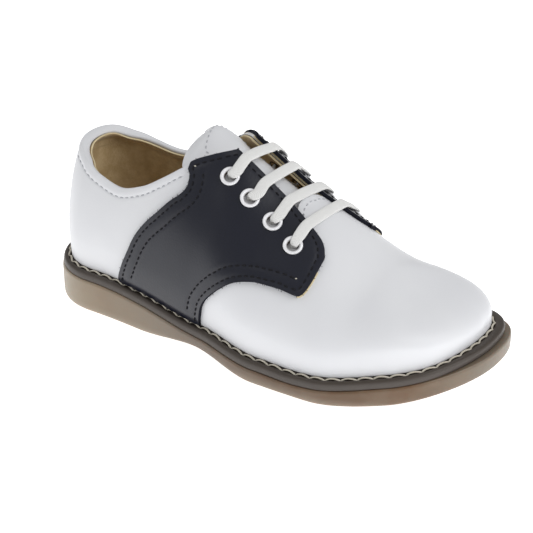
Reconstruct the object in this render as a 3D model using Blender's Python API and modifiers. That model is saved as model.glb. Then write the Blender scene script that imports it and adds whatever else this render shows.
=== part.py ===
"""Child's saddle shoe for the right foot, empty and standing on its sole.

The frame has +X to the toe, +Y to the inner side of the foot and +Z up, and its
origin on the floor under the middle of the outsole. Every piece is worked out in
the last's own frame first, whose X starts at the back of the heel, and hangs on
one empty that shifts it to the middle.
"""
import bpy
import bmesh
import math
import numpy as np
from mathutils import Matrix, Vector

MM = 0.001

# Plan of the outsole
SOLE_LENGTH = 170.0 * MM
HEEL_WIDTH = 54.8 * MM
WAIST_WIDTH = 55.4 * MM
BALL_WIDTH = 69.3 * MM
TOE_WIDTH = 66.6 * MM
TOE_SWING = 12.1 * MM

# Side view of the outsole
HEEL_THICKNESS = 12.3 * MM
WAIST_THICKNESS = 4.0 * MM
BALL_THICKNESS = 4.7 * MM
TOE_THICKNESS = 6.2 * MM
ARCH_RISE = 3.1 * MM
TOE_SPRING = 6.0 * MM
SOLE_EDGE_ROUND = 1.2 * MM

# Welt and insole
WELT_THICKNESS = 2.9 * MM
WELT_WIDTH = 7.0 * MM
WELT_STEP = 0.5 * MM
WELT_TOE_STEP = 2.4 * MM
WELT_EDGE_ROUND = 0.7 * MM
LEDGE_WIDTH = 3.1 * MM
LEDGE_TOE_WIDTH = 4.7 * MM
INSOLE_THICKNESS = 4.1 * MM

# Heights of the last over the floor
HEEL_COLLAR_HEIGHT = 60.0 * MM
ANKLE_COLLAR_HEIGHT = 49.3 * MM
THROAT_HEIGHT = 67.6 * MM
INSTEP_HEIGHT = 56.4 * MM
BALL_HEIGHT = 46.0 * MM
TOE_BOX_HEIGHT = 34.4 * MM
BELLY = 1.4 * MM
BELT_RISE = 10.0 * MM

# Leather, and the gap that every two pieces keep
UPPER_WALL = 1.8 * MM
SADDLE_WALL = 1.2 * MM
TONGUE_WALL = 2.0 * MM
GAP = 0.3 * MM
FEATHER_GAP = 1.6 * GAP

# Throat, tongue, eyelets and lace
THROAT_WIDTH = 14.0 * MM
TONGUE_WIDTH = 27.0 * MM
TONGUE_DEPTH = 4.2 * MM
EYELET_DISTANCE = 16.0 * MM
EYELET_FLANGE = 6.7 * MM
EYELET_BORE = 4.0 * MM
EYELET_TUBE_WALL = 0.35 * MM
EYELET_HEIGHT = 0.8 * MM
EYELET_RIM_ROUND = 0.3 * MM
EYELET_SEAT_GAP = 0.5 * MM
EYELET_DEPTH = 2.0 * GAP + SADDLE_WALL + UPPER_WALL
LACE_WIDTH = 3.0 * MM
LACE_THICKNESS = 1.2 * MM
LACE_DIP = 0.9 * MM

# Places along the lace: across the throat, and under the facing from one eyelet to the next
BAR_STOPS = (0.09, 0.22, 0.36, 0.50, 0.64, 0.78, 0.91)
RISER_STOPS = (0.35, 0.65)

# Fineness of the facets
ROUND_STEPS = 68
BELT_STEPS = 3
CROWN_STEPS = 10
BELT_SHARE = BELT_STEPS / (BELT_STEPS + CROWN_STEPS)
TONGUE_ROWS = 15
TONGUE_COLUMNS = 9
TONGUE_CROWDING = 1.35
EYELET_SIDES = 12
LACE_SIDES = 8
LACE_STEPS = 2
RIDGE_WELD = 0.2 * MM

# Cutters: how high and how far out they reach, and how far one passes over the ridge
CUTTER_TOP = 1.9 * HEEL_COLLAR_HEIGHT
CUTTER_REACH = BALL_WIDTH
CUTTER_FRONT_SHARE = 0.85
RIDGE_OVERLAP = 2.0 * MM
DRILL_LENGTH = 4.0 * (SADDLE_WALL + UPPER_WALL)

WHITE_LEATHER = (0.80, 0.81, 0.82)
NAVY_LEATHER = (0.022, 0.026, 0.038)
TAN_LINING = (0.42, 0.33, 0.20)
BROWN_RUBBER = (0.33, 0.25, 0.17)
DARK_RUBBER = (0.08, 0.06, 0.05)
WHITE_ENAMEL = (0.85, 0.85, 0.86)
WHITE_COTTON = (0.86, 0.86, 0.84)

# Share of length, width it follows, outer part, inner part, share of the toe's swing
PLAN = (
    (0.00, HEEL_WIDTH, 0.507, 0.493, 0.00),
    (0.14, HEEL_WIDTH, 0.507, 0.493, 0.00),
    (0.42, WAIST_WIDTH, 0.572, 0.428, 0.00),
    (0.60, BALL_WIDTH, 0.541, 0.424, 0.02),
    (0.72, BALL_WIDTH, 0.544, 0.456, 0.06),
    (0.86, TOE_WIDTH, 0.496, 0.504, 0.33),
    (1.00, TOE_WIDTH, 0.446, 0.454, 1.00),
)
HEEL_END_SHARE = 0.15
TOE_END_SHARE = 0.20
HEEL_END_POWER = 2.2
TOE_END_POWER = 2.3

# Share of length, share of the arch's rise, of the toe's spring, thickness it follows, part of it
SIDE = (
    (0.00, 0.0, 0.00, HEEL_THICKNESS, 1.00),
    (0.15, 0.0, 0.00, HEEL_THICKNESS, 1.00),
    (0.28, 0.0, 0.00, HEEL_THICKNESS, 0.87),
    (0.45, 1.0, 0.00, WAIST_THICKNESS, 1.00),
    (0.60, 0.0, 0.00, BALL_THICKNESS, 1.09),
    (0.68, 0.0, 0.00, BALL_THICKNESS, 1.00),
    (0.74, 0.0, 0.00, BALL_THICKNESS, 1.12),
    (0.87, 0.0, 0.28, TOE_THICKNESS, 1.07),
    (1.00, 0.0, 1.00, TOE_THICKNESS, 1.00),
)

# Share of length, height it follows, part of it for the ridge, belly outer and inner as parts
# of BELLY, rise of the belt as part of BELT_RISE
LAST = (
    (0.00, HEEL_COLLAR_HEIGHT, 1.44, 0.3, 0.3, 1.0),
    (0.05, HEEL_COLLAR_HEIGHT, 1.30, 0.3, 0.3, 1.0),
    (0.10, HEEL_COLLAR_HEIGHT, 1.15, 0.8, 0.8, 1.0),
    (0.18, ANKLE_COLLAR_HEIGHT, 1.37, 1.0, 1.2, 1.1),
    (0.27, ANKLE_COLLAR_HEIGHT, 1.49, 1.2, 2.2, 1.2),
    (0.36, THROAT_HEIGHT, 1.15, 1.2, 2.8, 1.3),
    (0.46, THROAT_HEIGHT, 1.01, 1.2, 2.8, 1.3),
    (0.57, INSTEP_HEIGHT, 1.00, 1.2, 2.0, 1.1),
    (0.68, BALL_HEIGHT, 1.00, 1.0, 1.0, 0.9),
    (0.78, BALL_HEIGHT, 0.78, 0.8, 0.3, 0.8),
    (0.88, TOE_BOX_HEIGHT, 0.87, 0.5, -0.8, 0.8),
    (1.00, TOE_BOX_HEIGHT, 0.80, 0.2, 0.0, 0.35),
)

# Share of length, how square the crown is across on the outer and inner side, and upwards
CROWN = (
    (0.00, 2.5, 2.4, 1.6),
    (0.15, 1.8, 2.1, 1.6),
    (0.27, 1.8, 2.5, 1.6),
    (0.37, 1.9, 2.2, 1.6),
    (0.47, 2.2, 2.0, 1.6),
    (0.57, 1.8, 1.9, 1.6),
    (0.68, 2.0, 2.0, 1.7),
    (0.78, 2.1, 2.0, 1.8),
    (0.88, 2.3, 2.3, 2.3),
    (1.00, 2.3, 2.0, 2.1),
)
HEEL_POLE_SHARE = 0.145
TOE_POLE_SHARE = 0.78

# Collar line in side view: share of length, height it follows, part of it
COLLAR = (
    (-0.10, HEEL_COLLAR_HEIGHT, 1.01),
    (0.01, HEEL_COLLAR_HEIGHT, 1.01),
    (0.055, HEEL_COLLAR_HEIGHT, 0.975),
    (0.100, HEEL_COLLAR_HEIGHT, 0.915),
    (0.147, ANKLE_COLLAR_HEIGHT, 1.045),
    (0.206, ANKLE_COLLAR_HEIGHT, 1.005),
    (0.27, ANKLE_COLLAR_HEIGHT, 1.068),
    (0.318, ANKLE_COLLAR_HEIGHT, 1.164),
    (0.365, ANKLE_COLLAR_HEIGHT, 1.272),
    (0.40, THROAT_HEIGHT, 0.980),
    (0.44, THROAT_HEIGHT, 1.005),
    (0.48, THROAT_HEIGHT, 1.01),
)

# Facing line in plan: share of length, half its gap as part of THROAT_WIDTH
FACING = (
    (0.34, 0.50),
    (0.45, 0.52),
    (0.57, 0.54),
    (0.597, 0.60),
    (0.622, 0.68),
    (0.652, 0.79),
    (0.669, 0.87),
    (0.685, 1.06),
    (0.693, 1.35),
    (0.697, 1.60),
)
THROAT_END_SHARE = 0.600
THROAT_END_BULGE = 0.012

# Saddle in side view: share of length, height as part of INSTEP_HEIGHT
SADDLE_BACK = (
    (0.216, 0.18),
    (0.221, 0.274),
    (0.238, 0.404),
    (0.257, 0.525),
    (0.274, 0.640),
    (0.299, 0.748),
    (0.328, 0.839),
    (0.358, 0.932),
    (0.380, 0.987),
    (0.391, 1.040),
    (0.390, 1.090),
    (0.379, 1.135),
    (0.376, 1.170),
)
SADDLE_FRONT = (
    (0.692, 0.95),
    (0.693, 0.76),
    (0.691, 0.70),
    (0.686, 0.630),
    (0.676, 0.600),
    (0.654, 0.609),
    (0.633, 0.620),
    (0.608, 0.624),
    (0.586, 0.626),
    (0.565, 0.617),
    (0.538, 0.592),
    (0.510, 0.535),
    (0.489, 0.478),
    (0.467, 0.400),
    (0.457, 0.343),
    (0.451, 0.280),
    (0.445, 0.206),
    (0.441, 0.14),
)

# The inner saddle's front lies a little further forward, from a start in share of length
SADDLE_INNER_SHIFT = 0.005
SHIFT_START = 0.52
SHIFT_LENGTH = 0.10
SADDLE_FOOT_CLIMB = 0.016
SADDLE_GRID = (0.17, 0.78)

# Tongue from its sewn end to its top: share of length, depth under the last's surface as part
# of TONGUE_DEPTH, half width as part of TONGUE_WIDTH, how much of the depth its sides lose
TONGUE = (
    (0.660, 0.62, 0.40, 0.00),
    (0.600, 0.78, 0.46, 0.00),
    (0.520, 0.95, 0.48, 0.00),
    (0.450, 1.08, 0.49, 0.10),
    (0.405, 1.28, 0.58, 0.45),
    (0.375, 1.52, 0.66, 0.58),
    (0.350, 1.80, 0.66, 0.64),
    (0.336, 2.05, 0.56, 0.50),
    (0.327, 2.20, 0.38, 0.20),
    (0.323, 2.28, 0.20, 0.05),
)

# Eyelets of one side from the top one down: share of length, distance from the ridge as part
# of EYELET_DISTANCE
EYELETS = (
    (0.463, 0.94),
    (0.511, 1.01),
    (0.568, 1.04),
    (0.626, 1.18),
)


def remove_everything():
    for thing in list(bpy.data.objects):
        bpy.data.objects.remove(thing, do_unlink=True)


def column(table, index):
    return np.array([row[index] for row in table])


def smooth(where, stations, values):
    """Curve through a short table that never overshoots its rows."""
    stations = np.asarray(stations, float)
    values = np.asarray(values, float)
    step = np.diff(stations)
    slope = np.diff(values) / step
    before, after = slope[:-1], slope[1:]
    level = before * after <= 0.0
    near = 2.0 * step[1:] + step[:-1]
    far = step[1:] + 2.0 * step[:-1]
    mean = near / np.where(level, 1.0, before) + far / np.where(level, 1.0, after)
    lean = np.concatenate(([slope[0]], np.where(level, 0.0, (near + far) / mean), [slope[-1]]))
    where = np.clip(where, stations[0], stations[-1])
    cell = np.clip(np.searchsorted(stations, where) - 1, 0, len(step) - 1)
    t = (where - stations[cell]) / step[cell]
    rest = 1.0 - t
    start = values[cell] * (1.0 + 2.0 * t) * rest ** 2 + step[cell] * lean[cell] * t * rest ** 2
    end = values[cell + 1] * t ** 2 * (3.0 - 2.0 * t) - step[cell] * lean[cell + 1] * t ** 2 * rest
    return start + end


def table_curve(where, table, follows, part):
    """Curve through a table whose rows give a part of a named size."""
    return smooth(where, column(table, 0), column(table, follows) * column(table, part))


def share_of(turn):
    """Share of length at a turn round the sole: 0 and 1 at the heel, a half at the toe."""
    return (1.0 - np.cos(2.0 * math.pi * turn)) / 2.0


def turn_of(share, side):
    """Turn of a share of length on the outer side (-1) or the inner side (+1)."""
    turn = np.arccos(1.0 - 2.0 * np.asarray(share, float)) / (2.0 * math.pi)
    return np.where(side < 0, turn, 1.0 - turn)


def side_of(turn):
    return np.where(np.mod(turn, 1.0) < 0.5, -1.0, 1.0)


def edge_point(turn):
    """Plan point on the outsole's edge."""
    share = share_of(turn)
    side = side_of(turn)
    outer = table_curve(share, PLAN, 1, 2)
    inner = table_curve(share, PLAN, 1, 3)
    heel = np.clip(1.0 - share / HEEL_END_SHARE, 0.0, 1.0)
    toe = np.clip(1.0 - (1.0 - share) / TOE_END_SHARE, 0.0, 1.0)
    ends = (1.0 - heel ** HEEL_END_POWER) ** (1.0 / HEEL_END_POWER)
    ends = ends * (1.0 - toe ** TOE_END_POWER) ** (1.0 / TOE_END_POWER)
    middle = smooth(share, column(PLAN, 0), column(PLAN, 4)) * TOE_SWING
    half = np.where(side < 0, outer, inner) * ends
    return np.stack([share * SOLE_LENGTH, middle + side * half], -1)


def inset_point(turn, inset):
    """Plan point that lies an inset inside the outsole's edge."""
    small = 1e-4
    along = edge_point(turn + small) - edge_point(turn - small)
    along = along / np.linalg.norm(along, axis=-1, keepdims=True)
    inward = np.stack([-along[..., 1], along[..., 0]], -1)
    return edge_point(turn) + inward * np.asarray(inset)[..., None]


def floor_height(share):
    rise = smooth(share, column(SIDE, 0), column(SIDE, 1)) * ARCH_RISE
    return rise + smooth(share, column(SIDE, 0), column(SIDE, 2)) * TOE_SPRING


def outsole_top(share):
    return floor_height(share) + table_curve(share, SIDE, 3, 4)


def welt_top(share):
    return outsole_top(share) + GAP + WELT_THICKNESS


def welt_step(turn):
    """How far the welt stands back from the outsole's edge, more round the toe."""
    share = share_of(turn)
    toe = np.where(side_of(turn) < 0, smooth(share, (0.0, 0.92, 1.0), (0.0, 0.0, 1.0)),
                   smooth(share, (0.0, 0.80, 1.0), (0.0, 0.0, 1.0)))
    return WELT_STEP + (WELT_TOE_STEP - WELT_STEP) * toe


def ledge_width(turn):
    """How much of the welt shows beside the upper, more round the inner side of the toe."""
    share = share_of(turn)
    toe = np.where(side_of(turn) < 0, smooth(share, (0.0, 0.93, 1.0), (0.0, 0.0, 1.0)),
                   smooth(share, (0.0, 0.72, 0.88, 1.0), (0.0, 0.0, 1.0, 1.0)))
    return LEDGE_WIDTH + (LEDGE_TOE_WIDTH - LEDGE_WIDTH) * toe


def feather_height(share):
    """Height of the upper's lower rim, which stands on the welt."""
    return welt_top(share) + FEATHER_GAP


def last_point(turn, climb):
    """Point on the outside of the upper: climb runs from the welt (0) to the ridge (1)."""
    share = share_of(turn)
    side = side_of(turn)
    foot = inset_point(turn, welt_step(turn) + ledge_width(turn))
    base = feather_height(foot[..., 0] / SOLE_LENGTH)
    pole_x = np.clip(foot[..., 0], HEEL_POLE_SHARE * SOLE_LENGTH, TOE_POLE_SHARE * SOLE_LENGTH)
    pole_y = smooth(pole_x / SOLE_LENGTH, column(PLAN, 0), column(PLAN, 4)) * TOE_SWING
    pole = np.stack([pole_x, pole_y], -1)
    spoke = foot - pole
    reach = np.linalg.norm(spoke, axis=-1)
    spoke = spoke / reach[..., None]
    belly = np.where(side < 0, smooth(share, column(LAST, 0), column(LAST, 3)),
                     smooth(share, column(LAST, 0), column(LAST, 4))) * BELLY
    belt = base + smooth(share, column(LAST, 0), column(LAST, 5)) * BELT_RISE
    across = np.where(side < 0, smooth(share, column(CROWN, 0), column(CROWN, 1)),
                      smooth(share, column(CROWN, 0), column(CROWN, 2)))
    upward = smooth(share, column(CROWN, 0), column(CROWN, 3))
    low = np.clip(climb / BELT_SHARE, 0.0, 1.0)
    high = np.clip((climb - BELT_SHARE) / (1.0 - BELT_SHARE), 0.0, 1.0) * math.pi / 2.0
    out = reach + belly * np.sin(low * math.pi / 2.0)
    out = out * np.maximum(np.cos(high), 0.0) ** (2.0 / across)
    plan = pole + spoke * out[..., None]
    ridge = table_curve(plan[..., 0] / SOLE_LENGTH, LAST, 1, 2)
    height = base + (belt - base) * low
    height = height + (ridge - belt) * np.sin(high) ** (2.0 / upward)
    return np.concatenate([plan, height[..., None]], -1)


def climb_at(share, side, distance):
    """Climb at which the upper's surface is a distance away from its ridge."""
    turn = turn_of(share, side)
    reach = abs(last_point(turn, np.full_like(turn, BELT_SHARE))[..., 1]
                - last_point(turn, np.ones_like(turn))[..., 1])
    power = smooth(share, column(CROWN, 0), column(CROWN, 1 if side < 0 else 2))
    high = np.arccos((distance / reach) ** (power / 2.0))
    return BELT_SHARE + (1.0 - BELT_SHARE) * high / (math.pi / 2.0)


def last_normal(turn, climb):
    """Outward direction of the upper's surface."""
    small = 1e-3
    climb = np.clip(climb, small, 1.0 - 2.0 * small)
    round_way = last_point(turn + small, climb) - last_point(turn - small, climb)
    up_way = last_point(turn, climb + small) - last_point(turn, climb - small)
    out = np.cross(round_way, up_way)
    return out / np.linalg.norm(out, axis=-1, keepdims=True)


def lifted(turn, climb, lift):
    """Point a lift outside the upper's surface, or inside it where the lift is negative."""
    return last_point(turn, climb) + last_normal(turn, climb) * lift


def make_material(name, colour, roughness, metallic=0.0):
    material = bpy.data.materials.new(name)
    material.use_nodes = True
    shader = material.node_tree.nodes["Principled BSDF"]
    shader.inputs["Base Color"].default_value = (*colour, 1.0)
    shader.inputs["Roughness"].default_value = roughness
    shader.inputs["Metallic"].default_value = metallic
    material.diffuse_color = (*colour, 1.0)
    return material


def place(mesh, name, material):
    """Object of the shoe from a mesh, with smooth round faces."""
    mesh.materials.append(material)
    mesh.shade_smooth()
    mesh.set_sharp_from_angle(angle=math.radians(40.0))
    thing = bpy.data.objects.new(name, mesh)
    shoe.objects.link(thing)
    thing.parent = frame
    return thing


def mesh_of(name, points, faces, weld=0.0):
    """Mesh from points and faces, with its faces turned the same way."""
    mesh = bpy.data.meshes.new(name)
    body = bmesh.new()
    corners = [body.verts.new(point) for point in points]
    for face in faces:
        body.faces.new([corners[i] for i in face])
    if weld > 0.0:
        bmesh.ops.remove_doubles(body, verts=body.verts, dist=weld)
    bmesh.ops.recalc_face_normals(body, faces=body.faces)
    body.to_mesh(mesh)
    body.free()
    return mesh


def loop_turns():
    return np.arange(ROUND_STEPS) / ROUND_STEPS


def sole_loop(inset, height_at, lift=0.0):
    """Loop round the shoe at an inset from the outsole's edge, a lift over a height curve."""
    turn = loop_turns()
    plan = inset_point(turn, np.broadcast_to(inset, turn.shape))
    height = height_at(plan[:, 0] / SOLE_LENGTH) + lift
    return np.concatenate([plan, height[:, None]], -1)


def band_faces(first, second, count):
    """Quads between two loops that follow each other in a list of points."""
    return [(first + i, first + (i + 1) % count, second + (i + 1) % count, second + i)
            for i in range(count)]


def cap_faces(first, count):
    """Strips across a loop, from its outer side to its inner side."""
    half = count // 2
    faces = [(first, first + 1, first + count - 1)]
    faces += [(first + i, first + i + 1, first + count - i - 1, first + count - i)
              for i in range(1, half - 1)]
    faces += [(first + half - 1, first + half, first + half + 1)]
    return faces


def plate(name, loops, material):
    """Closed plate: loops from its underside up its side to its top."""
    count = ROUND_STEPS
    faces = cap_faces(0, count) + cap_faces((len(loops) - 1) * count, count)
    for i in range(len(loops) - 1):
        faces += band_faces(i * count, (i + 1) * count, count)
    return place(mesh_of(name, np.concatenate(loops), faces), name, material)


def ring(name, loops, material):
    """Closed ring: loops that go once round its section."""
    count = ROUND_STEPS
    faces = []
    for i in range(len(loops)):
        faces += band_faces(i * count, ((i + 1) % len(loops)) * count, count)
    return place(mesh_of(name, np.concatenate(loops), faces), name, material)


def make_outsole():
    bevel = SOLE_EDGE_ROUND
    loops = [
        sole_loop(bevel, floor_height),
        sole_loop(bevel * 0.3, floor_height, bevel * 0.3),
        sole_loop(0.0, floor_height, bevel),
        sole_loop(0.0, outsole_top, -bevel * 0.4),
        sole_loop(bevel * 0.4, outsole_top),
    ]
    return plate("outsole", loops, make_material("brown_rubber", BROWN_RUBBER, 0.45))


def make_welt():
    edge = welt_step(loop_turns())
    bevel = WELT_EDGE_ROUND
    loops = [
        sole_loop(edge, outsole_top, GAP),
        sole_loop(edge, welt_top, -bevel),
        sole_loop(edge + bevel * 0.3, welt_top, -bevel * 0.3),
        sole_loop(edge + bevel, welt_top),
        sole_loop(edge + WELT_WIDTH, welt_top),
        sole_loop(edge + WELT_WIDTH, outsole_top, GAP),
    ]
    return ring("welt", loops, make_material("dark_welt", DARK_RUBBER, 0.4))


def make_insole():
    inset = welt_step(loop_turns()) + WELT_WIDTH + GAP
    loops = [sole_loop(inset, outsole_top, GAP), sole_loop(inset, outsole_top, GAP + INSOLE_THICKNESS)]
    return plate("insole", loops, make_material("tan_lining", TAN_LINING, 0.8))


def flat_cutter(name, outline, plane, low, high):
    """Cutter from a flat outline: in side view (plane XZ) or in plan (plane XY)."""
    curve = bpy.data.curves.new(name, "CURVE")
    curve.dimensions = "2D"
    curve.fill_mode = "BOTH"
    curve.extrude = (high - low) / 2.0
    spline = curve.splines.new("POLY")
    spline.points.add(len(outline) - 1)
    for point, (u, v) in zip(spline.points, outline):
        point.co = (u, v, 0.0, 1.0)
    spline.use_cyclic_u = True
    guide = bpy.data.objects.new(name, curve)
    cutters.objects.link(guide)
    bpy.context.view_layer.update()
    mesh = bpy.data.meshes.new_from_object(guide.evaluated_get(bpy.context.evaluated_depsgraph_get()))
    bpy.data.objects.remove(guide, do_unlink=True)
    middle = (low + high) / 2.0
    turn = Matrix.Identity(4) if plane == "XY" else Matrix.Rotation(math.pi / 2.0, 4, "X")
    shift = Vector((0.0, 0.0, middle)) if plane == "XY" else Vector((0.0, middle, 0.0))
    mesh.transform(Matrix.Translation(shift) @ turn)
    body = bmesh.new()
    body.from_mesh(mesh)
    bmesh.ops.remove_doubles(body, verts=body.verts, dist=1e-6)
    bmesh.ops.recalc_face_normals(body, faces=body.faces)
    body.to_mesh(mesh)
    body.free()
    return hide_cutter(bpy.data.objects.new(name, mesh))


def hide_cutter(cutter):
    cutters.objects.link(cutter)
    cutter.parent = frame
    cutter.hide_render = True
    cutter.display_type = "WIRE"
    return cutter


def cut(thing, cutter, operation="DIFFERENCE"):
    boolean = thing.modifiers.new(cutter.name, "BOOLEAN")
    boolean.operation = operation
    boolean.object = cutter
    boolean.solver = "EXACT"


def collar_cutter():
    """Everything over the collar line, seen from the side."""
    share = np.linspace(COLLAR[0][0], COLLAR[-1][0], 44)
    line = np.stack([share * SOLE_LENGTH, table_curve(share, COLLAR, 1, 2)], -1)
    outline = [*line, (line[-1][0], CUTTER_TOP), (line[0][0], CUTTER_TOP)]
    return flat_cutter("collar_cutter", outline, "XZ", -CUTTER_REACH, CUTTER_REACH)


def facing_line(share):
    return smooth(share, column(FACING, 0), column(FACING, 1)) * THROAT_WIDTH


def throat_cutter():
    """The slot between the facings down to the vamp's rear edge, seen from above."""
    share = np.linspace(FACING[0][0], THROAT_END_SHARE, 12)
    half = facing_line(share)
    across = np.linspace(-1.0, 1.0, 9)[1:-1]
    end = [((THROAT_END_SHARE - THROAT_END_BULGE * (1.0 - v ** 4)) * SOLE_LENGTH, v * half[-1])
           for v in across]
    outer = [(s * SOLE_LENGTH, -h) for s, h in zip(share, half)]
    inner = [(s * SOLE_LENGTH, h) for s, h in zip(share, half)][::-1]
    return flat_cutter("throat_cutter", outer + end + inner, "XY", BALL_HEIGHT * 0.8, CUTTER_TOP)


def facing_cutter(name, side, shift):
    """What lies between the facings and in front of the saddle, seen from above."""
    straight = np.linspace(FACING[0][0], THROAT_END_SHARE, 8)
    turned = np.linspace(THROAT_END_SHARE, FACING[-1][0], 15)[1:]
    share = np.concatenate([straight, turned])
    moved = share + shift * np.clip((share - SHIFT_START) / SHIFT_LENGTH, 0.0, 1.0)
    line = [(s * SOLE_LENGTH, side * h) for s, h in zip(moved, facing_line(share))]
    front = CUTTER_FRONT_SHARE * SOLE_LENGTH
    past = -side * RIDGE_OVERLAP
    outline = line + [(front, line[-1][1]), (front, past), (line[0][0], past)]
    return flat_cutter(name, outline, "XY", 0.0, CUTTER_TOP)


def side_curve(table, shift, count):
    """Smooth line through a side-view table, shared out by distance."""
    rows = np.array(table)
    points = np.stack([(rows[:, 0] + shift) * SOLE_LENGTH, rows[:, 1] * INSTEP_HEIGHT], -1)
    far = np.concatenate([[0.0], np.cumsum(np.linalg.norm(np.diff(points, axis=0), axis=1))])
    at = np.linspace(0.0, far[-1], count)
    return np.stack([smooth(at, far, points[:, 0]), smooth(at, far, points[:, 1])], -1)


def saddle_block(name, side, shift):
    """The saddle's outline in side view, as a block that its panel is cut from."""
    back = side_curve(SADDLE_BACK, 0.0, 20)
    front = side_curve(SADDLE_FRONT, shift, 30)
    outline = [*back, (back[-1][0], CUTTER_TOP), (front[0][0], CUTTER_TOP), *front,
               (front[-1][0], 0.0), (back[0][0], 0.0)]
    low, high = sorted((side * CUTTER_REACH, 0.0))
    return flat_cutter(name, outline, "XZ", low, high)


def climbs():
    return np.arange(BELT_STEPS + CROWN_STEPS + 1) / (BELT_STEPS + CROWN_STEPS)


def last_dome(lift):
    """Open surface over the whole last: one column of points for each turn."""
    turn, climb = loop_turns(), climbs()
    grid_turn, grid_climb = np.meshgrid(turn, climb[:-1], indexing="ij")
    grid = lifted(grid_turn, grid_climb, lift)
    half = ROUND_STEPS // 2
    top = lifted(turn[:half + 1], np.ones(half + 1), lift)
    top[:, 1] = last_point(turn[:half + 1], np.ones(half + 1))[:, 1]
    rows = len(climb) - 1
    points = np.concatenate([grid.reshape(-1, 3), top])

    def at(i, j):
        i = i % ROUND_STEPS
        if j < rows:
            return i * rows + j
        return ROUND_STEPS * rows + (i if i <= half else ROUND_STEPS - i)

    faces = []
    for i in range(ROUND_STEPS):
        for j in range(rows):
            face = [at(i, j), at(i + 1, j), at(i + 1, j + 1), at(i, j + 1)]
            faces.append(list(dict.fromkeys(face)))
    return points, [face for face in faces if len(face) > 2]


def solidify(thing, thickness, offset):
    shell = thing.modifiers.new("wall", "SOLIDIFY")
    shell.thickness = thickness
    shell.offset = offset
    shell.use_even_offset = False


def eyelet_spots(side):
    """Turn and climb of each eyelet on one side, from the top one down."""
    share = column(EYELETS, 0)
    distance = column(EYELETS, 1) * EYELET_DISTANCE
    return turn_of(share, side), climb_at(share, side, distance)


def seat_matrix(point, out):
    """Place of a turned piece whose axis stands on the leather."""
    turn = Vector(out).to_track_quat("Z", "Y").to_matrix().to_4x4()
    return Matrix.Translation(Vector(point)) @ turn


def eyelet_seats(side):
    turn, climb = eyelet_spots(side)
    seats = lifted(turn, climb, GAP + SADDLE_WALL)
    return [seat_matrix(p, n) for p, n in zip(seats, last_normal(turn, climb))]


def eyelet_drill():
    """The eight holes through saddle and upper, as one cutter."""
    radius = EYELET_BORE / 2.0 + EYELET_TUBE_WALL + GAP
    body = bmesh.new()
    for side in (-1, 1):
        for seat in eyelet_seats(side):
            bmesh.ops.create_cone(body, cap_ends=True, segments=EYELET_SIDES, radius1=radius,
                                  radius2=radius, depth=DRILL_LENGTH, matrix=seat)
    mesh = bpy.data.meshes.new("eyelet_drill")
    body.to_mesh(mesh)
    body.free()
    return hide_cutter(bpy.data.objects.new("eyelet_drill", mesh))


def make_upper(collar, throat, drill):
    points, faces = last_dome(0.0)
    mesh = mesh_of("upper", points, faces, weld=RIDGE_WELD)
    upper = place(mesh, "upper", make_material("white_leather", WHITE_LEATHER, 0.45))
    solidify(upper, UPPER_WALL, -1.0)
    cut(upper, collar)
    cut(upper, throat)
    cut(upper, drill)
    return upper


def make_saddle(name, side, shift, material, collar, drill):
    turns = loop_turns()
    share = share_of(turns)
    wanted = (side_of(turns) == side) & (share > SADDLE_GRID[0]) & (share < SADDLE_GRID[1])
    turn, climb = turns[wanted], climbs()
    climb[0] = SADDLE_FOOT_CLIMB
    grid_turn, grid_climb = np.meshgrid(turn, climb, indexing="ij")
    grid = lifted(grid_turn, grid_climb, GAP)
    rows = len(climb)
    faces = [(i * rows + j, (i + 1) * rows + j, (i + 1) * rows + j + 1, i * rows + j + 1)
             for i in range(len(turn) - 1) for j in range(rows - 1)]
    mesh = mesh_of(name, grid.reshape(-1, 3), faces)
    middle = mesh.polygons[len(mesh.polygons) // 2]
    if middle.normal.y * side < 0.0:
        mesh.flip_normals()
    saddle = place(mesh, name, material)
    solidify(saddle, SADDLE_WALL, 1.0)
    cut(saddle, saddle_block(name + "_block", side, shift), "INTERSECT")
    cut(saddle, facing_cutter(name + "_facing", side, shift))
    cut(saddle, collar)
    cut(saddle, drill)
    return saddle


def make_tongue(material):
    rows, across = TONGUE_ROWS, TONGUE_COLUMNS
    at = 1.0 - (1.0 - np.linspace(0.0, 1.0, rows)) ** TONGUE_CROWDING
    stations = np.linspace(0.0, 1.0, len(TONGUE))
    share = smooth(at, stations, column(TONGUE, 0))
    depth = smooth(at, stations, column(TONGUE, 1)) * TONGUE_DEPTH
    half = smooth(at, stations, column(TONGUE, 2)) * TONGUE_WIDTH
    loss = smooth(at, stations, column(TONGUE, 3))
    points = []
    for s, d, h, c in zip(share, depth, half, loss):
        for v in np.linspace(-1.0, 1.0, across):
            side = -1 if v < 0.0 else 1
            spot = np.array([max(abs(v) * h, 0.02 * MM)])
            turn = turn_of(np.array([s]), side)
            points.append(lifted(turn, climb_at(np.array([s]), side, spot), -d * (1.0 - c * v * v))[0])
    faces = [(i * across + j, (i + 1) * across + j, (i + 1) * across + j + 1, i * across + j + 1)
             for i in range(rows - 1) for j in range(across - 1)]
    mesh = mesh_of("tongue", points, faces)
    if mesh.polygons[len(mesh.polygons) // 2].normal.z < 0.0:
        mesh.flip_normals()
    tongue = place(mesh, "tongue", material)
    solidify(tongue, TONGUE_WALL, -1.0)
    return tongue


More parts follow.
